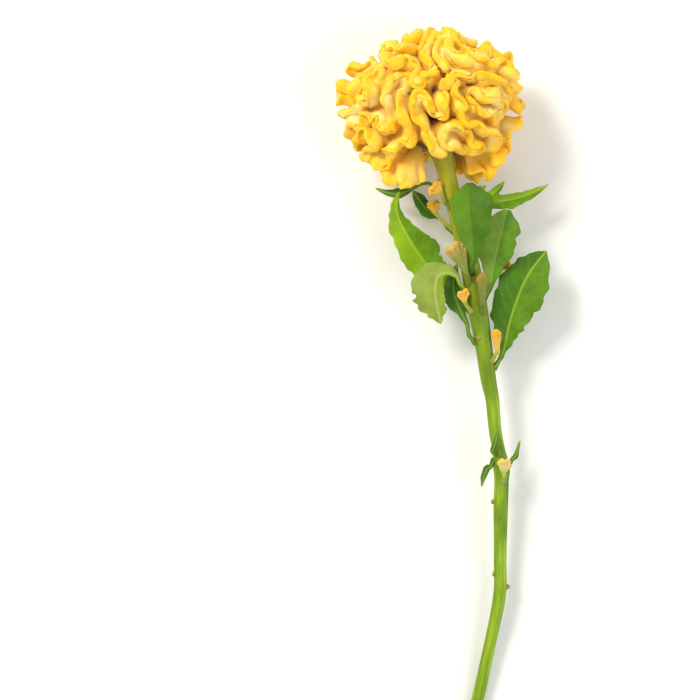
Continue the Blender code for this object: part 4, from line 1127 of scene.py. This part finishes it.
# seat: y and angle on the stem; widths: share of the length, reach to the left and to the right;
# tears: share of the length, side, depth and width
LEAVES = {
    "leaf_long_left": dict(
        seat=(-101.0, 190.0), fold=0.22, wave=0.8, turns=3.5, tissue=bright_leaf,
        line=((12.0, -94.0, 19.5), (5.0, -87.5, 18.0), (-3.5, -78.0, 18.0),
              (-12.5, -64.0, 19.5), (-17.0, -53.5, 22.0), (-16.0, -44.0, 25.0)),
        widths=((0.0, 1.0, 1.0), (0.12, 1.3, 1.3), (0.3, 8.0, 6.5), (0.5, 9.5, 11.0),
                (0.72, 7.2, 5.5), (0.88, 3.6, 1.8), TIP),
        tears=((0.42, -1, 1.0, 0.7), (0.56, -1, 1.3, 0.7), (0.36, -1, 0.8, 0.8))),
    "leaf_pale": dict(
        seat=(-91.5, 150.0), fold=-0.15, wave=0.7, turns=3.0, tissue=pale_leaf,
        line=((12.5, -86.5, 31.0), (7.0, -84.8, 33.5), (2.6, -88.0, 34.5),
              (2.2, -97.0, 33.0), (5.0, -110.3, 29.0)),
        widths=((0.0, 1.0, 1.0), (0.22, 1.2, 1.6), (0.36, 1.8, 6.5), (0.5, 3.4, 11.5),
                (0.64, 4.6, 13.0), (0.8, 4.6, 9.5), (0.9, 3.2, 5.0), TIP),
        tears=((0.60, -1, 1.2, 0.9), (0.66, -1, 3.4, 0.8), (0.74, -1, 1.6, 1.1),
               (0.86, -1, 1.6, 0.8), (0.93, 1, 0.9, 0.8))),
    "leaf_dark_small": dict(
        seat=(-117.0, 168.0), fold=0.25, wave=0.5, turns=2.5,
        line=((18.6, -111.0, 23.0), (14.3, -102.0, 24.0), (11.3, -92.0, 24.5), (13.0, -80.5, 27.0)),
        widths=((0.0, 0.9, 0.9), (0.30, 1.0, 1.0), (0.48, 4.6, 4.0), (0.70, 5.4, 4.2), TIP)),
    "leaf_upright_front": dict(
        seat=(-83.0, 88.0), fold=0.16, wave=0.5, turns=3.0, tissue=front_leaf,
        line=((21.6, -78.0, 35.5), (21.0, -70.0, 38.5), (20.0, -61.0, 40.5),
              (19.3, -50.5, 40.5), (18.6, -40.6, 39.0)),
        widths=((0.0, 1.1, 1.1), (0.15, 1.6, 1.6), (0.32, 5.4, 5.0), (0.52, 9.0, 8.8),
                (0.72, 10.4, 11.0), (0.88, 8.6, 9.6), (0.96, 5.0, 6.0), (1.0, 1.4, 1.8)),
        tears=((0.55, -1, 0.9, 1.2), (0.8, -1, 0.7, 1.4))),
    "leaf_right_front": dict(
        seat=(-96.0, 24.0), fold=0.2, wave=0.7, turns=3.5, tissue=soft_leaf,
        line=((30.0, -91.5, 26.0), (31.7, -80.0, 28.0), (34.5, -68.0, 31.0), (38.0, -53.2, 30.0)),
        widths=((0.0, 1.1, 1.1), (0.15, 1.6, 1.6), (0.35, 6.5, 5.2), (0.6, 10.5, 8.5),
                (0.80, 9.5, 9.0), (0.93, 5.6, 6.6), (1.0, 1.6, 2.0)),
        tears=((0.75, 1, 1.1, 1.2), (0.55, 1, 0.9, 0.8), (0.7, -1, 0.9, 1.5))),
    "leaf_large_right": dict(
        seat=(-131.0, 12.0), fold=0.14, wave=1.0, turns=3.5, tissue=large_leaf,
        line=((37.4, -123.0, 18.0), (40.0, -110.0, 20.0), (44.0, -97.0, 22.5),
              (49.5, -85.0, 23.5), (58.5, -73.5, 21.0)),
        widths=((0.0, 1.1, 1.1), (0.14, 1.5, 1.5), (0.30, 7.6, 6.4), (0.52, 12.6, 12.0),
                (0.74, 11.4, 13.0), (0.88, 6.4, 8.4), TIP),
        tears=((0.78, 1, 1.5, 1.4), (0.64, 1, 0.8, 0.8), (0.5, -1, 1.3, 1.2), (0.36, -1, 0.8, 1.0))),
    "leaf_slim_right": dict(
        seat=(-55.5, -8.0), fold=0.25, wave=0.4, turns=2.5, tissue=bright_leaf,
        line=((24.0, -51.0, 25.0), (33.0, -49.0, 23.5), (43.0, -47.2, 22.5),
              (52.0, -44.0, 21.5), (59.5, -40.0, 21.0)),
        widths=((0.0, 0.9, 0.9), (0.18, 1.2, 1.2), (0.36, 3.4, 4.0), (0.55, 3.2, 4.4), (0.80, 1.8, 2.4), TIP)),
    "leaf_side_shoot": dict(
        seat=(-62.5, 200.0), fold=0.2, wave=0.5, turns=3.0,
        line=((5.0, -57.2, 22.5), (-1.0, -53.5, 23.5), (-5.0, -49.0, 24.5), (-8.8, -43.6, 25.0)),
        widths=((0.0, 0.8, 0.8), (0.34, 0.9, 0.9), (0.55, 4.2, 4.0), (0.78, 3.4, 3.8), TIP)),
    "bract_hanging_comb": dict(
        seat=(-38.5, 186.0), fold=0.2, wave=0.3, turns=2.0,
        line=((-3.0, -39.5, 24.0), (-12.0, -43.5, 19.0), (-19.0, -44.5, 17.0), (-27.5, -41.6, 16.0)),
        widths=((0.0, 0.7, 0.7), (0.48, 0.7, 0.7), (0.66, 2.6, 2.8), (0.82, 1.6, 1.6), TIP)),
    "bract_neck_right": dict(
        seat=(-49.0, 20.0), fold=0.2, wave=0.2, turns=2.0, tissue=bright_leaf,
        line=((20.0, -45.6, 30.5), (24.5, -43.4, 29.5), (27.6, -41.2, 29.0)),
        widths=((0.0, 0.7, 0.7), (0.35, 1.0, 1.0), (0.6, 2.4, 2.6), TIP)),
    "bract_right_spike": dict(
        seat=(-52.0, 5.0), fold=0.2, wave=0.2, turns=2.0, tissue=bright_leaf,
        line=((26.0, -47.6, 27.0), (32.0, -44.5, 26.5), (37.0, -39.0, 26.0)),
        widths=((0.0, 0.7, 0.7), (0.4, 1.6, 1.6), (0.7, 2.4, 2.4), TIP)),
    "bract_node_left": dict(
        seat=(-180.5, 165.0), fold=0.25, wave=0.2, turns=2.0,
        line=((29.4, -182.6, 17.0), (27.4, -186.5, 16.5), (26.3, -192.5, 14.5)),
        widths=((0.0, 0.9, 0.9), (0.4, 1.7, 1.7), (0.75, 1.1, 1.1), TIP)),
    "bract_node_right": dict(
        seat=(-180.5, 12.0), fold=0.2, wave=0.1, turns=2.0,
        line=((43.2, -177.6, 16.6), (45.6, -169.6, 15.6)),
        widths=((0.0, 0.8, 0.8), (0.4, 1.4, 1.4), TIP)),
    "bract_node_front": dict(
        seat=(-175.0, 128.0), fold=0.2, wave=0.1, turns=2.0,
        line=((32.6, -170.6, 22.6), (33.6, -165.6, 23.6), (34.4, -161.6, 24.0)),
        widths=((0.0, 0.8, 0.8), (0.4, 1.3, 1.3), TIP)),
}
print("leaves and bracts:", len(LEAVES))

# %% [markdown]
# ## Build the leaves
#
# One function lays the solid model's rows of points. The finer leaf then bends smoothly through
# them. Between the side veins the blade swells a little, which gives real leaves their quilted
# shine, the margin wavers, and the tears are cut in by drawing the margin in at their places.
# Subdivision alone would only round the leaf off, without any of this.

# %% Build the leaves and bracts
LEAF_COLUMNS = (-1.0, -0.5, 0.0, 0.5, 1.0)
LEAF_ROW_LENGTH = 4.5
FEWEST_ROWS, LEAF_ROWS = 8, 14
ROW_CROWDING = 1.25
SPINE_STEPS = 60
WAVE_LAG = 1.3
STALK_SHARE = 0.25
STALK_REACH, STALK_FADE = 2.2, 1.2
LEAF_STALK_HALF = 0.8
FLAT_REACH = 1.5
BLADE_HALF = 0.34
MIDRIB_HALF = 0.6
THINNEST_LEAF = 0.2
MARGIN_THINNING = 0.45
FINE_ROW = 0.8
FINE_COLUMNS = 29
TIP_THINNING = 0.5
QUILTING, QUILT_LEVEL = 0.14, 0.4
QUILT_FROM, QUILT_FADE = 0.6, 2.0
RAGGED, FINE_RAG, BROAD_RAG = 0.4, 2.4, 5.5
# Narrower leaves than these swell and waver less
QUILTED_REACH, RAGGED_REACH = 4.0, 5.0


def leaf_sheet(line, widths, fold, wave, turns):
    """The solid leaf's middle points and half thicknesses, and each point's reach and length."""
    smooth = smooth_path(line, SPINE_STEPS)
    length = run_length(smooth)[-1]
    rows = int(min(LEAF_ROWS, max(FEWEST_ROWS, length / LEAF_ROW_LENGTH)))
    share = np.linspace(0.0, 1.0, rows) ** ROW_CROWDING
    spine = at_lengths(share, np.linspace(0.0, 1.0, SPINE_STEPS), smooth)
    left, right = at_lengths(share, np.array(widths)[:, 0], np.array(widths)[:, 1:]).T
    forward = unit(np.gradient(spine, axis=0))
    onward = unit((spine[-1] - spine[0]) * np.array([1.0, 1.0, 0.0]))
    leading = forward + onward * np.maximum(0.0, 1.0 - share / STALK_SHARE)[:, None]
    side = cross(UP * np.ones_like(leading), leading)
    side = unit(side - forward * (side * forward).sum(1)[:, None])
    up = cross(forward, side)
    middle, half, reaches = [], [], []
    for column in LEAF_COLUMNS:
        reach = left if column > 0 else right
        swing = np.sin(turns * 2 * math.pi * share + (WAVE_LAG if column > 0 else 0.0))
        calm = np.clip((reach - FLAT_REACH) / (2 * FLAT_REACH), 0.0, 1.0)
        lift = fold * abs(column) * reach + wave * column * column * swing * calm
        middle.append(spine + side * (reach * column)[:, None] + up * lift[:, None])
        stalky = np.clip((STALK_REACH - reach) / STALK_FADE, 0.0, 1.0) * (share < 0.5)
        blade = BLADE_HALF if column else MIDRIB_HALF
        half.append(blade + (LEAF_STALK_HALF - blade) * stalky)
        reaches.append(reach * column)
    half = np.array(half).T
    half[-1] = BLADE_HALF
    return np.array(middle).transpose(1, 0, 2), half, np.array(reaches).T, share * length


for number, (name, leaf) in enumerate(LEAVES.items()):
    line = from_stem(leaf["seat"], leaf["line"])
    middle, half, reach, along = leaf_sheet(
        line, leaf["widths"], leaf["fold"], leaf["wave"], leaf["turns"])
    rows = int(along[-1] / FINE_ROW) + 2
    middle, half, reach = (refine(grid, rows, FINE_COLUMNS) for grid in (middle, half, reach))
    along = refine(along[:, None] * np.ones((1, 2)), rows, FINE_COLUMNS)
    across = np.linspace(-1.0, 1.0, FINE_COLUMNS)[None, :] * np.ones((rows, 1))
    breadth = np.abs(reach).max(1, keepdims=True)

    normal = unit(cross(np.gradient(middle, axis=0), np.gradient(middle, axis=1)))
    away = np.abs(reach)
    order = along - VEIN_SLANT * away - VEIN_CURVE * away ** 2 + VEIN_STAGGER * np.sign(reach)
    bulge = np.abs(np.sin(math.pi * (order / VEIN_SPACING)))
    bulge = bulge * np.clip((away - QUILT_FROM) / QUILT_FADE, 0.0, 1.0) * (1 - across ** 4)
    swelling = QUILTING * (bulge - QUILT_LEVEL) * np.clip(breadth / QUILTED_REACH, 0, 1)
    middle = middle + normal * swelling[..., None]

    margin = ripple(middle, RAGGED, FINE_RAG, 300 + number) + ripple(middle, RAGGED, BROAD_RAG, 330 + number)
    margin = margin * np.clip(breadth / RAGGED_REACH, 0.0, 1.0)
    for share, flank, depth, width in leaf.get("tears", ()):
        near = np.exp(-((along - share * along[-1]) / width) ** 2)
        margin = margin - depth * near * (np.sign(across) == flank)
    inward = unit(np.gradient(middle, axis=1)) * np.sign(across)[..., None]
    middle = middle + inward * (margin * np.abs(across) ** 3)[..., None]
    half = np.maximum(half * (1 - MARGIN_THINNING * across ** 6), THINNEST_LEAF)
    half[-1] *= TIP_THINNING

    points, faces = sheet_mesh(*add_root(middle, half))
    place = np.stack([along, reach, np.abs(across)], -1)
    place = np.concatenate([place[:1] - ROOT_LENGTH * np.array([1.0, 0.0, 0.0]), place]).reshape(-1, 3)
    make_piece(name + "_fine", points, faces, leaf.get("tissue", deep_leaf),
               name,
               {"leaf_place": np.vstack([place, place]), "under": np.repeat([1.0, 0.0], len(place))})
    print(name, "is", round(float(along[-1, 0])), "mm long")

# %% [markdown]
# ## The table
#
# The flower lies on a plain, near-white table, painted matt. Its paint is not one flat colour, but
# very faintly cloudy, which keeps the wide plane from looking like an empty background.

# %% Build the table
TABLE_HALF = 3.0


def table_paint():
    """Matt table paint: near white, with very faint cloudiness."""
    material, tree, shader = new_material("pale_table_paint")
    place = add_node(tree, "TexCoord").outputs["Object"]
    clouds = add_node(tree, "TexNoise", Vector=place, Scale=6.0, Detail=5.0)
    colour = add_node(tree, "Mix", data_type="RGBA", Factor=clouds, A=linear("F2F1ED"), B=linear("F7F6F3"))
    set_sockets(shader, Base_Color=colour, Roughness=0.8)
    return material


grid = bmesh.new()
bmesh.ops.create_grid(grid, x_segments=1, y_segments=1, size=TABLE_HALF)
table_mesh = bpy.data.meshes.new("table_top")
grid.to_mesh(table_mesh)
grid.free()
table_mesh.materials.append(table_paint())
table = bpy.data.objects.new("table_top", table_mesh)
bpy.context.scene.collection.objects.link(table)
print("table:", 2 * TABLE_HALF, "m wide")

# %% [markdown]
# ## Light and camera
#
# One large soft light from the upper left models the ruffles, as in the photograph, and a bright
# pale sky fills the shadows. The photograph shows the flower from straight in front; the flower lies
# down here, so the camera looks straight down on it, through a long lens that keeps the forms
# undistorted, with the same framing.

# %% Set the light and the camera
LENS = 120.0
SENSOR = 36.0
VIEW_WIDTH = 350.0
VIEW_CENTRE = (-46.6, 12.3)
VIEW_PLANE = 31.0


def area_light(name, place, aim, size, power, hex_value):
    """A soft square light that points at a place."""
    data = bpy.data.lights.new(name, "AREA")
    data.size = size
    data.energy = power
    data.color = linear(hex_value)[:3]
    light = bpy.data.objects.new(name, data)
    light.location = place
    light.rotation_euler = (Vector(aim) - Vector(place)).to_track_quat("-Z", "Y").to_euler()
    bpy.context.scene.collection.objects.link(light)


area_light("window_light", (-0.75, 0.75, 1.05), (0.0, 0.08, 0.03), 0.45, 17.0, "FFFBF2")
area_light("fill_light", (0.9, -0.3, 0.9), (0.0, 0.05, 0.03), 0.9, 7.0, "F4F8FF")
world = bpy.data.worlds.new("pale_studio")
world.use_nodes = True
set_sockets(world.node_tree.nodes["Background"], Color=linear("FBFAF6"), Strength=0.62)
bpy.context.scene.world = world
bpy.context.scene.view_settings.view_transform = "Standard"

camera_data = bpy.data.cameras.new("camera")
camera_data.lens = LENS
camera_data.sensor_width = SENSOR
camera = bpy.data.objects.new("camera", camera_data)
distance = VIEW_WIDTH * LENS / SENSOR + VIEW_PLANE
camera.location = (VIEW_CENTRE[0] * MM, VIEW_CENTRE[1] * MM, distance * MM)
bpy.context.scene.collection.objects.link(camera)
bpy.context.scene.camera = camera
print("camera height:", round(distance), "mm")
